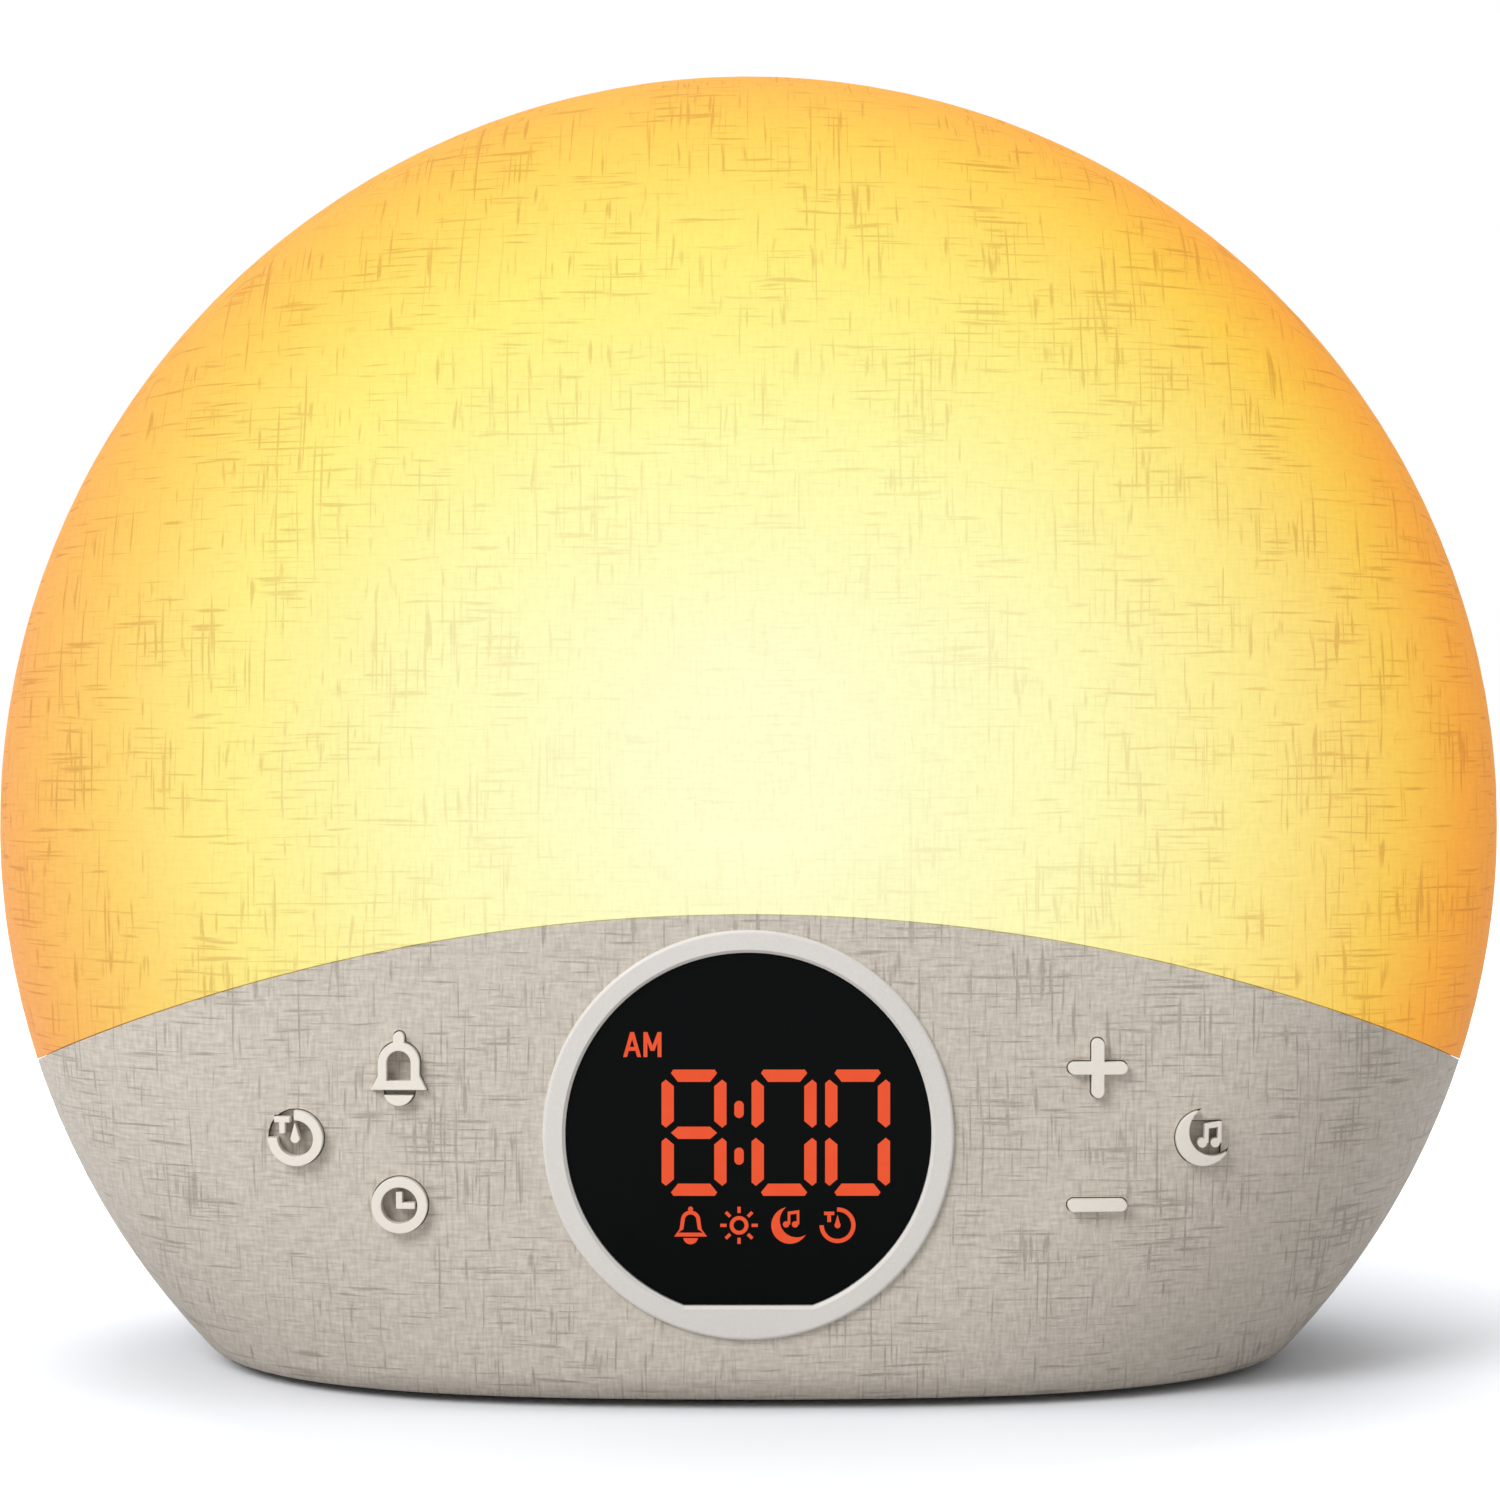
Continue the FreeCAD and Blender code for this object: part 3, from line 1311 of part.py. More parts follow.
def power_inlet():
    """Inlet socket with its centre pin, on a small board that lies on two posts."""
    half = S.jack_width / 2
    board_end = rear_depth - S.power_board_back
    plate = block("power_board_plate",
                  (S.jack_place - S.power_board_half_width, S.jack_place + S.power_board_half_width),
                  (board_end - S.power_board_length, board_end), (power_board_foot, power_board_top))
    plate_holes = [rod(f"power_board_hole_{number}", x, y, (0, far), S.small_screw_radius + S.fit_gap,
                       axis="z") for number, (x, y) in enumerate(power_screw_spots, start=1)]
    case = block("jack_case", (S.jack_place - half, S.jack_place + half),
                 (jack_face - S.jack_length, jack_face), (power_board_top, S.jack_height + S.jack_top))
    nose = rod("jack_nose", S.jack_place, (jack_face - S.wall, jack_face + S.jack_nose_length),
               S.jack_height, S.jack_nose_radius)
    mouth = jack_face + S.jack_nose_length
    bore_end = mouth - S.jack_bore_depth
    bore = rod("jack_bore", S.jack_place, (bore_end, far), S.jack_height, S.jack_bore_radius)
    screws = [screw_body(f"power_screw_{number}", (x, y, power_board_top), S.small_head_radius,
                         S.small_head_height, S.small_screw_radius, S.small_screw_length, -1, "z")
              for number, (x, y) in enumerate(power_screw_spots, start=1)]
    return [
        cut("power_board", plate, plate_holes),
        cut("dc_jack", fuse("jack_solid", [case, nose]), [bore]),
        rod("dc_jack_pin", S.jack_place, (bore_end, bore_end + S.jack_pin_length), S.jack_height,
            S.jack_pin_radius),
        group("power_board_screws", screws),
    ]


def backup_cell():
    """Coin cell under its holder, with the door and the screw that closes the bay."""
    half = S.holder_side / 2
    cell_foot = door_top + S.cell_gap
    cell_top = cell_foot + S.cell_thickness
    roof = cell_top + S.cell_gap + S.holder_roof
    holder_blank = block("holder_blank", (S.cell_place - half, S.cell_place + half),
                         (S.cell_stance - half, S.cell_stance + half), (base_inside, roof))
    bay = rod("holder_bay", S.cell_place, S.cell_stance, (0, cell_top + S.cell_gap),
              S.cell_radius + S.cell_gap, axis="z")
    half_length = S.door_length / 2
    half_width = S.door_width / 2
    door_blank = block("door_blank", (S.door_place - half_length, S.door_place + half_length),
                       (S.cell_stance - half_width, S.cell_stance + half_width),
                       (S.foot_height, door_top))
    door_head = S.foot_height + S.door_screw_sink
    sink = rod("door_sink", S.door_screw_place, S.cell_stance, (0, door_head),
               S.small_head_radius + S.fit_gap, axis="z")
    door_hole = rod("door_hole", S.door_screw_place, S.cell_stance, (0, far),
                    S.small_screw_radius + S.fit_gap, axis="z")
    return [
        cut("coin_cell_holder", holder_blank, [bay]),
        rod("coin_cell", S.cell_place, S.cell_stance, (cell_foot, cell_top), S.cell_radius, axis="z"),
        cut("battery_door", door_blank, [sink, door_hole]),
        screw_body("battery_door_screw", (S.door_screw_place, S.cell_stance, door_head),
                   S.small_head_radius, S.door_screw_sink, S.small_screw_radius, S.small_screw_length,
                   1, "z"),
    ]


def lead(name, x, route):
    """A lead in an upright plane: straight runs through the route's points, joined by round bends."""
    points = [Vector(dim(x).value, dim(y).value, dim(z).value) for y, z in route]
    edges = []
    start = points[0]
    for before, corner, after in zip(points, points[1:], points[2:]):
        way_in = corner - before
        way_out = after - corner
        half_turn = way_in.getAngle(way_out) / 2
        setback = 0.45 * min(way_in.Length, way_out.Length)
        way_in.normalize()
        way_out.normalize()
        bend_start = corner - way_in * setback
        bend_end = corner + way_out * setback
        bow = way_out - way_in
        bow.normalize()
        radius = setback / math.tan(half_turn)
        top = corner + bow * (radius / math.cos(half_turn) - radius)
        edges.append(Part.LineSegment(start, bend_start).toShape())
        edges.append(Part.Arc(bend_start, top, bend_end).toShape())
        start = bend_end
    edges.append(Part.LineSegment(start, points[-1]).toShape())
    path = doc.addObject("Part::Feature", name + "_path")
    path.Shape = Part.Wire(edges)
    section = doc.addObject("Part::Circle", name + "_section")
    bind(section, Radius=S.lead_radius)
    way = points[1] - points[0]
    move(section, x, route[0][0], route[0][1], Rotation(Vector(0, 0, 1), way))
    tube = doc.addObject("Part::Sweep", name)
    tube.Sections = [section]
    tube.Spine = (path, [f"Edge{number}" for number in range(1, len(edges) + 1)])
    tube.Solid = True
    return tube


def leads():
    start = board_back + S.header_side
    board_end = rear_depth - S.power_board_back - S.power_board_length
    power_middle = (power_board_top + power_board_foot) / 2
    lamp_route = [(start, S.lamp_lead_low), (S.lamp_lead_behind, S.lamp_lead_low),
                  (S.lamp_lead_behind, S.lamp_lead_high), (lamp_board_back, S.lamp_lead_high)]
    run = (flange_front - start) / 3
    speaker_route = [(start, S.speaker_lead_low), (start + run, S.speaker_lead_low),
                     (start + run * 2, S.speaker_lead_high), (flange_front, S.speaker_lead_high)]
    drop = (board_end - start) / 3
    power_route = [(start, S.power_lead_height), (start + drop, S.power_lead_height),
                   (start + drop * 2, power_middle), (board_end, power_middle)]
    return [
        lead("lamp_lead", S.lamp_lead_place, lamp_route),
        lead("speaker_lead", S.speaker_lead_place, speaker_route),
        lead("power_lead", S.jack_place, power_route),
    ]


def housing_screws():
    return group("housing_screws", [
        screw_body(f"housing_screw_{number}", (x, S.housing_seat, z), S.housing_head_radius,
                   S.housing_head_height, S.housing_screw_radius, S.housing_screw_length, -1)
        for number, (x, z) in enumerate(all_posts, start=1)])


shown_shapes = lit_shapes()
mask_blank = window_prism("mask_window", S.window_radius - S.mask_gap, S.window_flat - S.mask_gap,
                          -far, mask_back)

sub_parts = [
    diffuser_dome(),
    front_housing(),
    rear_housing(),
    display_bezel(),
    cut("display_mask", common("mask_plate", [mask_blank, mask_front_form]), [shown_shapes]),
    common("display_light_guides", [shown_shapes, mask_front_form]),
    rod("display_led_block", 0, (mask_back, board_front), S.display_height, S.window_flat - S.fit_gap),
    reflector_tray(),
    small_screws("reflector_screws", tray_screw_spots, S.tray_back, 1),
    lamp_board(),
    lamps(),
    small_screws("lamp_board_screws", lamp_screw_spots, lamp_board_front, 1),
    main_board(),
    small_screws("main_board_screws", board_screw_spots, board_back, -1),
    group("tact_switch_cases", [switch_case(f"switch_{number}", key[1], key[2])
                                for number, key in enumerate(KEYS)]),
    small_screws("speaker_screws", speaker_screw_spots, flange_front, 1, S.speaker_screw_length),
    housing_screws(),
    rubber_feet(),
]
sub_parts += board_components()
sub_parts += speaker_parts()
sub_parts += power_inlet()
sub_parts += backup_cell()
sub_parts += leads()
for key_name, key_x, key_z, key_solids, key_hole in KEYS:
    sub_parts.append(key_cap(key_name, key_x, key_z, key_solids, key_hole))
    sub_parts.append(switch_stem(key_name.replace("_key", "_switch_stem"), key_x, key_z))

doc.recompute()

failed = [thing.Name for thing in doc.Objects if {"Invalid", "Error"} & set(thing.State)]
if failed:
    raise RuntimeError("objects that failed: " + ", ".join(failed))
for piece in sub_parts:
    if piece.Shape.isNull() or not piece.Shape.isValid() or not piece.Shape.Solids:
        raise RuntimeError("sub-part with no valid solid: " + piece.Label)

os.makedirs("parts", exist_ok=True)
for piece in sub_parts:
    piece.Shape.exportStep(f"parts/{piece.Label}.step")
print(len(sub_parts), "sub-parts,", sum(len(piece.Shape.Solids) for piece in sub_parts), "solids")
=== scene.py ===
"""Looks of a round sunrise alarm clock: a lit linen-grained dome over a grey front with keys."""

import math

import bmesh
import bpy
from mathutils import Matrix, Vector

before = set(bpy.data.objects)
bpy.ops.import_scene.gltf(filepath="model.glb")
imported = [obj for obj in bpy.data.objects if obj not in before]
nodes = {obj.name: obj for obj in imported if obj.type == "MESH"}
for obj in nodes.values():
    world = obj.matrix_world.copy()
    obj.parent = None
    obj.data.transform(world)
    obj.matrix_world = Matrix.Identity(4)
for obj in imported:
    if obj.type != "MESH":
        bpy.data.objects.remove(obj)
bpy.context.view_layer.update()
scene = bpy.context.scene
scene.view_settings.view_transform = "Standard"

MM = 0.001

# The CAD's forms that the finishes follow: the round outline, the shallow dome of the face, and
# the shoulder round it, which is a ring with its middle line at SHOULDER_HUB.
BODY_CENTRE = Vector((0, 0, 0.0748))
BODY_RADIUS = 105 * MM
FACE_CENTRE = Vector((0, 0.92902, 0.0748))
FACE_RADIUS = 975 * MM
SHOULDER_HUB = 61 * MM
SHOULDER_RADIUS = 44 * MM

# Layers of the linen grain: changes per millimetre sideways and upwards, and a shift that keeps
# the layers apart. Real threads are 0.3 mm apart: these are about 0.5 mm wide, so that they show.
WEAVE = ((2.2, 0.45, 0), (0.45, 2.2, 40))
SLUBS = ((2.0, 0.06, 80), (0.08, 2.0, 120), (1.3, 0.14, 160), (0.11, 1.3, 200))
SIDES_START = 20 * MM  # before the seam, where the grain starts to run over the sides
SIDES_STRETCH = 0.8  # grain that a millimetre of depth uses up there, in millimetres
DRIFT_SIZE = 25  # threads leave their straight line over this length, in millimetres
DRIFT = (0.8, 0.8, 0)  # and by this much
PATCHES_PER_MM = 0.07  # patches with more slub threads
PATCH_SHARE = 0.3
RELIEF_DEPTH = 0.06 * MM

# The dome's glow, from its brightest place (0) to the outline (1).
LAMP_OFFSET = (0.8 * MM, 0, 7.9 * MM)
WARM_SIDE = ((0.1, "fffece"), (0.4, "fef9b4"), (0.6, "fdeb90"), (0.8, "fdce58"), (0.9, "faab3e"),
             (1, "da8828"))
PALE_SIDE = ((0.1, "fffece"), (0.4, "fefbb6"), (0.65, "fdee8a"), (0.8, "fad16c"), (0.9, "f8bc60"),
             (1, "efa256"))
TOP_TINT = (1, 1, 0.76, 1)

# The sunk key floors under this height get the housing's grey linen, darkened with painted shade.
SUNK_FLOOR = -0.4 * MM  # key surfaces below this height over the housing are grey, not cream
WORN_EDGE = 0.2 * MM

CAMERA_DISTANCE = 450  # from the seam of the shells, in millimetres
VIEW_WIDTH = 212.84  # what the camera sees at that distance, in millimetres

KEYS = ("timer_key", "alarm_key", "clock_key", "plus_key", "minus_key", "sleep_sound_key")


def colour(code):
    """An sRGB hex value as linear red, green, blue and alpha."""
    channels = [int(code[start:start + 2], 16) / 255 for start in (0, 2, 4)]
    linear = [value / 12.92 if value <= 0.04045 else ((value + 0.055) / 1.055) ** 2.4
              for value in channels]
    return (*linear, 1)


def material(name):
    """An empty node material, with its tree and its surface shader."""
    made = bpy.data.materials.new(name)
    made.use_nodes = True
    tree = made.node_tree
    return made, tree, tree.nodes["Principled BSDF"]


def add(tree, kind, inputs=None, **settings):
    """Adds a node: settings are its own properties, inputs are values or the outputs to link."""
    node = tree.nodes.new("ShaderNode" + kind)
    for name, value in settings.items():
        setattr(node, name, value)
    for name, value in (inputs or {}).items():
        socket = node.inputs[name]
        if isinstance(value, bpy.types.NodeSocket):
            tree.links.new(value, socket)
        else:
            socket.default_value = value
    return node


def fill_ramp(ramp, stops):
    """Sets a colour ramp's stops from pairs of place and hex value."""
    elements = ramp.color_ramp.elements
    while len(elements) < len(stops):
        elements.new(1)
    for element, (place, code) in zip(elements, stops):
        element.position = place
        element.color = colour(code)


def give(finish, *names):
    """Puts a material on CAD nodes."""
    for name in names:
        nodes[name].data.materials.clear()
        nodes[name].data.materials.append(finish)


def linen(tree):
    """The linen grain of the front shells: square to the clock, run on over its sides.

    Returns the place from the body's middle, the fine weave and the slub threads, both 0 to 1.
    """
    place = add(tree, "TexCoord").outputs["Object"]
    centred = add(tree, "VectorMath", {0: place, 1: BODY_CENTRE}, operation="SUBTRACT").outputs[0]
    apart = add(tree, "SeparateXYZ", {0: centred}).outputs
    flat = add(tree, "CombineXYZ", {"X": apart["X"], "Y": apart["Z"]}).outputs[0]

    # Over the sides the sheet goes on outwards, along the nearer axis rather than the ray.
    ray = add(tree, "VectorMath", {0: flat}, operation="NORMALIZE").outputs[0]
    square = add(tree, "VectorMath", {0: ray, 1: ray}, operation="MULTIPLY").outputs[0]
    cube = add(tree, "VectorMath", {0: square, 1: ray}, operation="MULTIPLY").outputs[0]
    way = add(tree, "VectorMath", {0: cube}, operation="NORMALIZE").outputs[0]
    past = add(tree, "Math", {0: apart["Y"], 1: SIDES_START}, operation="ADD").outputs[0]
    past = add(tree, "Math", {0: past, 1: 0.0}, operation="MAXIMUM").outputs[0]
    past = add(tree, "Math", {0: past, 1: SIDES_STRETCH / MM}, operation="MULTIPLY").outputs[0]
    over = add(tree, "VectorMath", {0: way, "Scale": past}, operation="SCALE").outputs[0]
    sheet = add(tree, "VectorMath", {0: flat, 1: (1 / MM,) * 3, 2: over},
                operation="MULTIPLY_ADD").outputs[0]

    drift = add(tree, "TexNoise", {"Vector": sheet, "Scale": 1 / DRIFT_SIZE, "Detail": 1.0})
    sway = add(tree, "VectorMath", {0: drift.outputs["Color"], 1: DRIFT, 2: sheet},
               operation="MULTIPLY_ADD").outputs[0]
    patches = add(tree, "TexNoise", {"Vector": sheet, "Scale": PATCHES_PER_MM, "Detail": 2.0})
    threads = []
    for sideways, upwards, shift in WEAVE + SLUBS:
        stretched = add(tree, "VectorMath",
                        {0: sway, 1: (sideways, upwards, 0), 2: (shift, shift, 0)},
                        operation="MULTIPLY_ADD").outputs[0]
        noise = add(tree, "TexNoise", {"Vector": stretched, "Scale": 1.0, "Detail": 1.0,
                                       "Roughness": 0.6})
        threads.append(noise.outputs["Fac"])
    weave = add(tree, "Math", {0: threads[0], 1: threads[1]}, operation="ADD").outputs[0]
    weave = add(tree, "MapRange", {"Value": weave, "From Min": 0.7, "From Max": 1.3})
    slub = 0.0
    for thread in threads[len(WEAVE):]:
        raised = add(tree, "Math", {0: patches.outputs["Fac"], 1: PATCH_SHARE, 2: thread},
                     operation="MULTIPLY_ADD").outputs[0]
        line = add(tree, "MapRange", {"Value": raised, "From Min": 0.78, "From Max": 0.88})
        slub = add(tree, "Math", {0: slub, 1: line.outputs["Result"]},
                   operation="MAXIMUM").outputs[0]
    return centred, weave.outputs["Result"], slub


def linen_relief(tree, weave, slub, strength):
    """Relief of the grain: fine threads stand up, slub threads are pressed in."""
    height = add(tree, "Math", {0: slub, 1: -0.8, 2: weave}, operation="MULTIPLY_ADD").outputs[0]
    return add(tree, "Bump", {"Height": height, "Strength": strength,
                              "Distance": RELIEF_DEPTH}).outputs[0]


def lit_translucent_shell():
    """Milky polycarbonate moulded with linen grain, with the glow of the lamps behind it painted
    in.

    The painted glow gives a pale yellow core that turns orange at the rim, with brown threads
    that fade where the light is strongest.
    """
    made, tree, shader = material("lit_translucent_shell")
    centred, weave, slub = linen(tree)
    lamp = add(tree, "VectorMath", {0: centred, 1: LAMP_OFFSET}, operation="SUBTRACT").outputs[0]
    flat = add(tree, "VectorMath", {0: lamp, 1: (1, 0, 1)}, operation="MULTIPLY").outputs[0]
    reach = add(tree, "VectorMath", {0: flat}, operation="LENGTH").outputs["Value"]
    share = add(tree, "Math", {0: reach, 1: BODY_RADIUS}, operation="DIVIDE").outputs[0]

    warm = add(tree, "ValToRGB", {"Fac": share})
    fill_ramp(warm, WARM_SIDE)
    pale = add(tree, "ValToRGB", {"Fac": share})
    fill_ramp(pale, PALE_SIDE)
    apart = add(tree, "SeparateXYZ", {0: centred}).outputs
    left = add(tree, "MapRange", {"Value": apart["X"], "From Min": 75 * MM, "From Max": -75 * MM})
    glow = add(tree, "Mix", {"Factor": left.outputs["Result"], "A": warm.outputs[0],
                             "B": pale.outputs[0]}, data_type="RGBA").outputs["Result"]
    upper = add(tree, "MapRange", {"Value": apart["Z"], "From Min": 25 * MM, "From Max": 65 * MM})
    glow = add(tree, "Mix", {"Factor": upper.outputs["Result"], "A": glow, "B": TOP_TINT},
               data_type="RGBA", blend_type="MULTIPLY").outputs["Result"]

    depth = add(tree, "MapRange", {"Value": share, "From Min": 0.15, "From Max": 0.8,
                                   "To Min": 0.05, "To Max": 0.36}).outputs["Result"]
    mark = add(tree, "Math", {0: slub, 1: depth}, operation="MULTIPLY").outputs[0]
    lined = add(tree, "Mix", {"Factor": mark, "A": glow, "B": colour("b0601c")}, data_type="RGBA")
    fine = add(tree, "MapRange", {"Value": weave, "To Min": 0.96, "To Max": 1.035})
    cast = add(tree, "VectorMath", {0: lined.outputs["Result"], "Scale": fine.outputs["Result"]},
               operation="SCALE").outputs[0]
    # Painted light: the glow of the lamps inside is emission, brightest in the middle and warmer
    # at the rim.
    tree.links.new(cast, shader.inputs["Emission Color"])
    shader.inputs["Emission Strength"].default_value = 0.82
    # The base colour is the painted glow dimmed, so the shell's own colour carries painted light
    # as well.
    body = add(tree, "VectorMath", {0: cast, "Scale": 0.18}, operation="SCALE").outputs[0]
    tree.links.new(body, shader.inputs["Base Color"])
    tree.links.new(linen_relief(tree, weave, slub, 0.5), shader.inputs["Normal"])
    shader.inputs["Roughness"].default_value = 0.6
    shader.inputs["IOR"].default_value = 1.58
    shader.inputs["Specular IOR Level"].default_value = 0.05
    return made


def grey_linen(tree, weave, slub):
    """The grey linen's colour: a fine cross hatch with darker slub threads."""
    fine = add(tree, "Mix", {"Factor": weave, "A": colour("bab2a6"), "B": colour("d0c8bd")},
               data_type="RGBA").outputs["Result"]
    mark = add(tree, "Math", {0: slub, 1: 0.42}, operation="MULTIPLY").outputs[0]
    return add(tree, "Mix", {"Factor": mark, "A": fine, "B": colour("766c60")},
               data_type="RGBA").outputs["Result"]


def grey_linen_shell():
    """Grey ABS moulded with the same linen grain: a dull warm grey that looks woven."""
    made, tree, shader = material("grey_linen_shell")
    _, weave, slub = linen(tree)
    tree.links.new(grey_linen(tree, weave, slub), shader.inputs["Base Color"])
    tree.links.new(linen_relief(tree, weave, slub, 0.8), shader.inputs["Normal"])
    shader.inputs["Roughness"].default_value = 0.65
    shader.inputs["IOR"].default_value = 1.54
    shader.inputs["Specular IOR Level"].default_value = 0.25
    return made


def height_over_face(tree, centred):
    """How far a place stands out of the housing's face or shoulder."""
    to_face = BODY_CENTRE - FACE_CENTRE
    from_face = add(tree, "VectorMath", {0: centred, 1: to_face}, operation="ADD").outputs[0]
    face = add(tree, "VectorMath", {0: from_face}, operation="LENGTH").outputs["Value"]
    face = add(tree, "Math", {0: face, 1: FACE_RADIUS}, operation="SUBTRACT").outputs[0]
    flat = add(tree, "VectorMath", {0: centred, 1: (1, 0, 1)}, operation="MULTIPLY").outputs[0]
    radius = add(tree, "VectorMath", {0: flat}, operation="LENGTH").outputs["Value"]
    out = add(tree, "Math", {0: radius, 1: SHOULDER_HUB}, operation="SUBTRACT").outputs[0]
    forth = add(tree, "SeparateXYZ", {0: centred}).outputs["Y"]
    across = add(tree, "CombineXYZ", {"X": out, "Y": forth}).outputs[0]
    shoulder = add(tree, "VectorMath", {0: across}, operation="LENGTH").outputs["Value"]
    shoulder = add(tree, "Math", {0: shoulder, 1: SHOULDER_RADIUS},
                   operation="SUBTRACT").outputs[0]
    past = add(tree, "Math", {0: out, 1: 0.0}, operation="GREATER_THAN").outputs[0]
    return add(tree, "Mix", {"Factor": past, "A": face, "B": shoulder}).outputs["Result"]


def cream_key_abs():
    """Satin ABS: cream symbols with soft edges, on a sunk floor with the housing's grey linen
    darkened by painted shade.
    """
    made, tree, shader = material("cream_key_abs")
    centred, weave, slub = linen(tree)
    place = add(tree, "TexCoord").outputs["Object"]
    grain = add(tree, "TexNoise", {"Vector": place, "Scale": 1 / (0.4 * MM), "Detail": 3.0})
    cream = add(tree, "Mix", {"Factor": grain.outputs["Fac"], "A": colour("e0dad0"),
                              "B": colour("e8e2d8")}, data_type="RGBA").outputs["Result"]
    # Painted shade: the sunk floor's grey linen is darkened to 0.72, where the raised symbols
    # shade it.
    painted_shade_floor = add(tree, "VectorMath", {0: grey_linen(tree, weave, slub), "Scale": 0.72},
                 operation="SCALE").outputs[0]
    proud = add(tree, "Math", {0: height_over_face(tree, centred), 1: SUNK_FLOOR},
                operation="GREATER_THAN").outputs[0]
    skin = add(tree, "Mix", {"Factor": proud, "A": painted_shade_floor, "B": cream}, data_type="RGBA")
    tree.links.new(skin.outputs["Result"], shader.inputs["Base Color"])
    worn = add(tree, "Bevel", {"Radius": WORN_EDGE}, samples=6).outputs[0]
    relief = add(tree, "Bump", {"Height": grain.outputs["Fac"], "Strength": 0.1,
                                "Distance": 0.03 * MM, "Normal": worn}).outputs[0]
    tree.links.new(relief, shader.inputs["Normal"])
    shader.inputs["Roughness"].default_value = 0.45
    shader.inputs["IOR"].default_value = 1.54
    shader.inputs["Specular IOR Level"].default_value = 0.3
    return made


def grained(name, low, high, grain, roughness, bump=0.3, metallic=0.0, index=1.5, shine=0.5):
    """A finish of one stuff: two tones, its grain's size in millimetres, its gloss and relief.

    Real moulded and plated grain is under 0.1 mm: it is drawn coarser, so that it shows.
    """
    made, tree, shader = material(name)
    place = add(tree, "TexCoord").outputs["Object"]
    fine = add(tree, "TexNoise", {"Vector": place, "Scale": 1 / (grain * MM), "Detail": 3.0})
    fine = fine.outputs["Fac"]
    broad = add(tree, "TexNoise", {"Vector": place, "Scale": 30.0, "Detail": 2.0})
    mixed = add(tree, "Math", {0: fine, 1: broad.outputs["Fac"]}, operation="ADD").outputs[0]
    tone = add(tree, "MapRange", {"Value": mixed, "From Min": 0.7, "From Max": 1.3})
    blend = add(tree, "Mix", {"Factor": tone.outputs["Result"], "A": colour(low),
                              "B": colour(high)}, data_type="RGBA").outputs["Result"]
    tree.links.new(blend, shader.inputs["Base Color"])
    worn = add(tree, "MapRange", {"Value": fine, "From Min": 0.3, "From Max": 0.7,
                                  "To Min": roughness - 0.05, "To Max": roughness + 0.05})
    tree.links.new(worn.outputs["Result"], shader.inputs["Roughness"])
    relief = add(tree, "Bump", {"Height": fine, "Strength": bump, "Distance": 0.03 * MM})
    tree.links.new(relief.outputs[0], shader.inputs["Normal"])
    shader.inputs["Metallic"].default_value = metallic
    shader.inputs["IOR"].default_value = index
    shader.inputs["Specular IOR Level"].default_value = shine
    return made


def lit_guide_resin():
    """Clear orange resin with the light of the LEDs behind it painted in: an even orange-red
    glow, slightly clouded.
    """
    made, tree, shader = material("lit_guide_resin")
    place = add(tree, "TexCoord").outputs["Object"]
    cloud = add(tree, "TexNoise", {"Vector": place, "Scale": 400.0}).outputs["Fac"]
    tone = add(tree, "Mix", {"Factor": cloud, "A": colour("e54c26"), "B": colour("ed5830")},
               data_type="RGBA").outputs["Result"]
    # Painted light: the LEDs' glow is emission.
    tree.links.new(tone, shader.inputs["Emission Color"])
    shader.inputs["Emission Strength"].default_value = 1.0
    shader.inputs["Base Color"].default_value = colour("1c0804")
    shader.inputs["Roughness"].default_value = 0.4
    shader.inputs["Specular IOR Level"].default_value = 0.1
    return made


def seen_direct(tree):
    """1 for the camera and for what gloss and glass show, 0 for light between surfaces."""
    path = add(tree, "LightPath").outputs
    seen = add(tree, "Math", {0: path["Is Camera Ray"], 1: path["Is Glossy Ray"]},
               operation="MAXIMUM").outputs[0]
    return add(tree, "Math", {0: seen, 1: path["Is Transmission Ray"]},
               operation="MAXIMUM").outputs[0]


def floor_paper():
    """Matte paper: white to the camera where nothing shades it, greyer to the object above it,
    with painted light that grows away from the object.
    """
    made, tree, shader = material("floor_paper")
    seen = seen_direct(tree)
    paper = add(tree, "Mix", {"Factor": seen, "A": colour("cacacc"), "B": colour("f2f5fa")},
                data_type="RGBA").outputs["Result"]
    tree.links.new(paper, shader.inputs["Base Color"])
    place = add(tree, "TexCoord").outputs["Object"]
    away = add(tree, "VectorMath", {0: place}, operation="LENGTH").outputs["Value"]
    # Painted light: to the camera the floor glows more the farther it lies from the object, and
    # stays darker near it.
    painted_floor_glow = add(tree, "MapRange", {"Value": away, "From Min": 80 * MM, "From Max": 200 * MM,
                                  "To Max": 0.75}).outputs["Result"]
    painted_floor_glow = add(tree, "Math", {0: seen, 1: painted_floor_glow}, operation="MULTIPLY").outputs[0]
    tree.links.new(painted_floor_glow, shader.inputs["Emission Strength"])
    shader.inputs["Emission Color"].default_value = (1, 1, 1, 1)
    shader.inputs["Roughness"].default_value = 0.9
    shader.inputs["Specular IOR Level"].default_value = 0.1
    return made


def light(name, place, aim, size, power):
    """A square soft light that points at the aim."""
    lamp = bpy.data.lights.new(name, "AREA")
    lamp.size = size
    lamp.energy = power
    made = bpy.data.objects.new(name, lamp)
    scene.collection.objects.link(made)
    made.location = place
    made.rotation_euler = (Vector(aim) - Vector(place)).to_track_quat("-Z", "Y").to_euler()


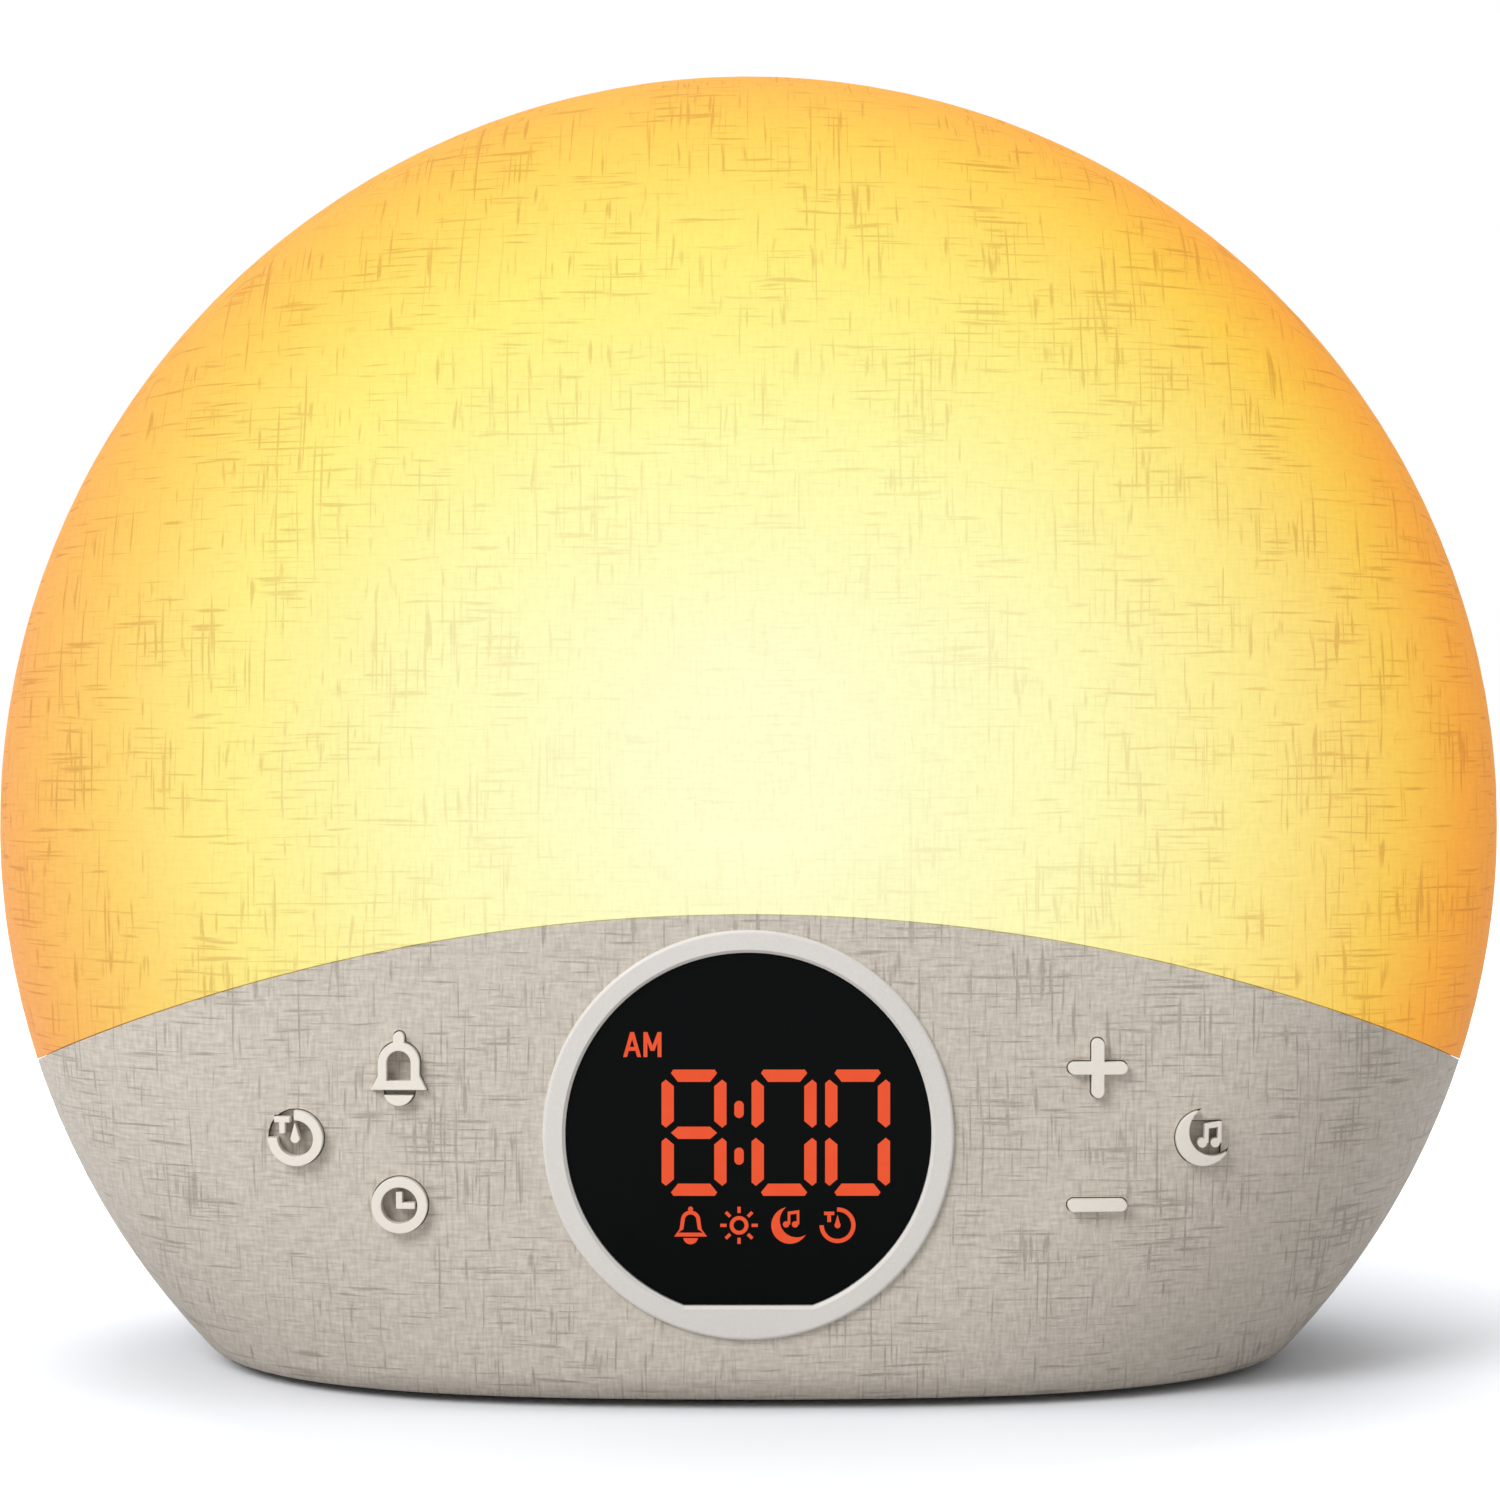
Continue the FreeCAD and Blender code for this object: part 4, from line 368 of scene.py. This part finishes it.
def studio():
    """A white floor, an even pale sky and soft lamps above and to the left."""
    shape = bmesh.new()
    bmesh.ops.create_grid(shape, x_segments=1, y_segments=1, size=6)
    mesh = bpy.data.meshes.new("floor")
    shape.to_mesh(mesh)
    shape.free()
    mesh.materials.append(floor_paper())
    floor = bpy.data.objects.new("floor", mesh)
    scene.collection.objects.link(floor)
    world = bpy.data.worlds.new("studio")
    scene.world = world
    world.use_nodes = True
    tree = world.node_tree
    sky = tree.nodes["Background"]
    sky.inputs["Color"].default_value = (1, 1, 1, 1)
    level = add(tree, "MapRange", {"Value": seen_direct(tree), "To Min": 0.48, "To Max": 1.0})
    tree.links.new(level.outputs["Result"], sky.inputs["Strength"])
    light("key_light", place=(-0.7, -0.85, 0.85), aim=(0, 0, 0.05), size=0.6, power=12.7)
    light("top_light", place=(0, 0.1, 1.4), aim=(0, 0, 0), size=1.0, power=7)


def camera():
    """A level view that stands before the seam of the shells, as wide as the photograph."""
    seen = bpy.data.cameras.new("camera")
    seen.sensor_width = 36
    seen.lens = seen.sensor_width * CAMERA_DISTANCE / VIEW_WIDTH
    seen.clip_start = 10 * MM
    made = bpy.data.objects.new("camera", seen)
    scene.collection.objects.link(made)
    made.location = (0.2 * MM, -CAMERA_DISTANCE * MM, 85.2 * MM)
    made.rotation_euler = (math.radians(90), 0, 0)
    scene.camera = made


give(lit_translucent_shell(), "diffuser_dome")
give(grey_linen_shell(), "front_housing")
give(cream_key_abs(), *KEYS)
give(lit_guide_resin(), "display_light_guides")
# Spark-textured ABS: dull, even warm grey.
give(grained("grey_abs_spark", "b0a9a0", "bdb6ac", 0.5, 0.6), "rear_housing", "battery_door")
# Satin ABS: pale grey, with a soft highlight on the ring's edge.
give(grained("pale_satin_abs", "d0ccc7", "d8d4cf", 0.3, 0.35, bump=0.05, shine=0.3),
     "display_bezel")
# Cast acrylic: flat and near black, with hardly a reflection.
give(grained("black_acrylic", "050606", "070909", 3, 0.2, bump=0, index=1.49, shine=0.03),
     "display_mask")
# Moulded acetal: milky and slightly glossy.
give(grained("pale_acetal", "dcd8cc", "e6e3d8", 0.4, 0.4),
     *(key.replace("_key", "_switch_stem") for key in KEYS))
# Moulded ABS: bright, even white.
give(grained("white_abs", "e4e4e0", "efefec", 0.4, 0.5), "reflector_tray", "wire_headers")
# Moulded nylon: dull black.
give(grained("black_nylon", "141416", "202022", 0.3, 0.6), "display_led_block",
     "tact_switch_cases", "controller_chip", "sound_chip", "dc_jack", "coin_cell_holder")
# Zinc plate on steel: cool grey with a soft metal shine.
give(grained("zinc_plated_steel", "9c9ca0", "b4b4b8", 0.2, 0.35, metallic=1.0),
     "reflector_screws", "lamp_board_screws", "main_board_screws", "speaker_screws",
     "housing_screws", "power_board_screws", "battery_door_screw")
# Solder mask on glass fibre: dark green, slightly glossy.
give(grained("green_solder_mask", "0e4a26", "165c30", 0.6, 0.35), "lamp_board", "main_board",
     "power_board")
# Phosphor in silicone resin: opaque yellow.
give(grained("phosphor_resin", "f0cf60", "f6dc80", 0.3, 0.35), "lamps")
# Moulded rubber and foam: black without a highlight.
give(grained("black_rubber", "161616", "242424", 0.25, 0.85), "rubber_feet", "speaker_gasket")
# Nickel plate: warm and bright metal.
give(grained("nickel_plate", "b0aea8", "c6c4be", 0.2, 0.25, metallic=1.0), "crystal",
     "capacitors", "coin_cell", "dc_jack_pin")
# Powder-coated steel: black with a dull sheen.
give(grained("black_coated_steel", "1a1a1c", "262628", 0.4, 0.5), "speaker_frame",
     "speaker_magnet")
# Pressed paper pulp: dark and rough, with visible fibre.
give(grained("pressed_paper", "1c1a18", "2a2826", 0.8, 0.9), "speaker_cone")
# PVC jacket: light grey, slightly shiny.
give(grained("grey_lead_jacket", "a8a8a8", "bcbcbc", 0.4, 0.5), "lamp_lead", "speaker_lead",
     "power_lead")
studio()
camera()
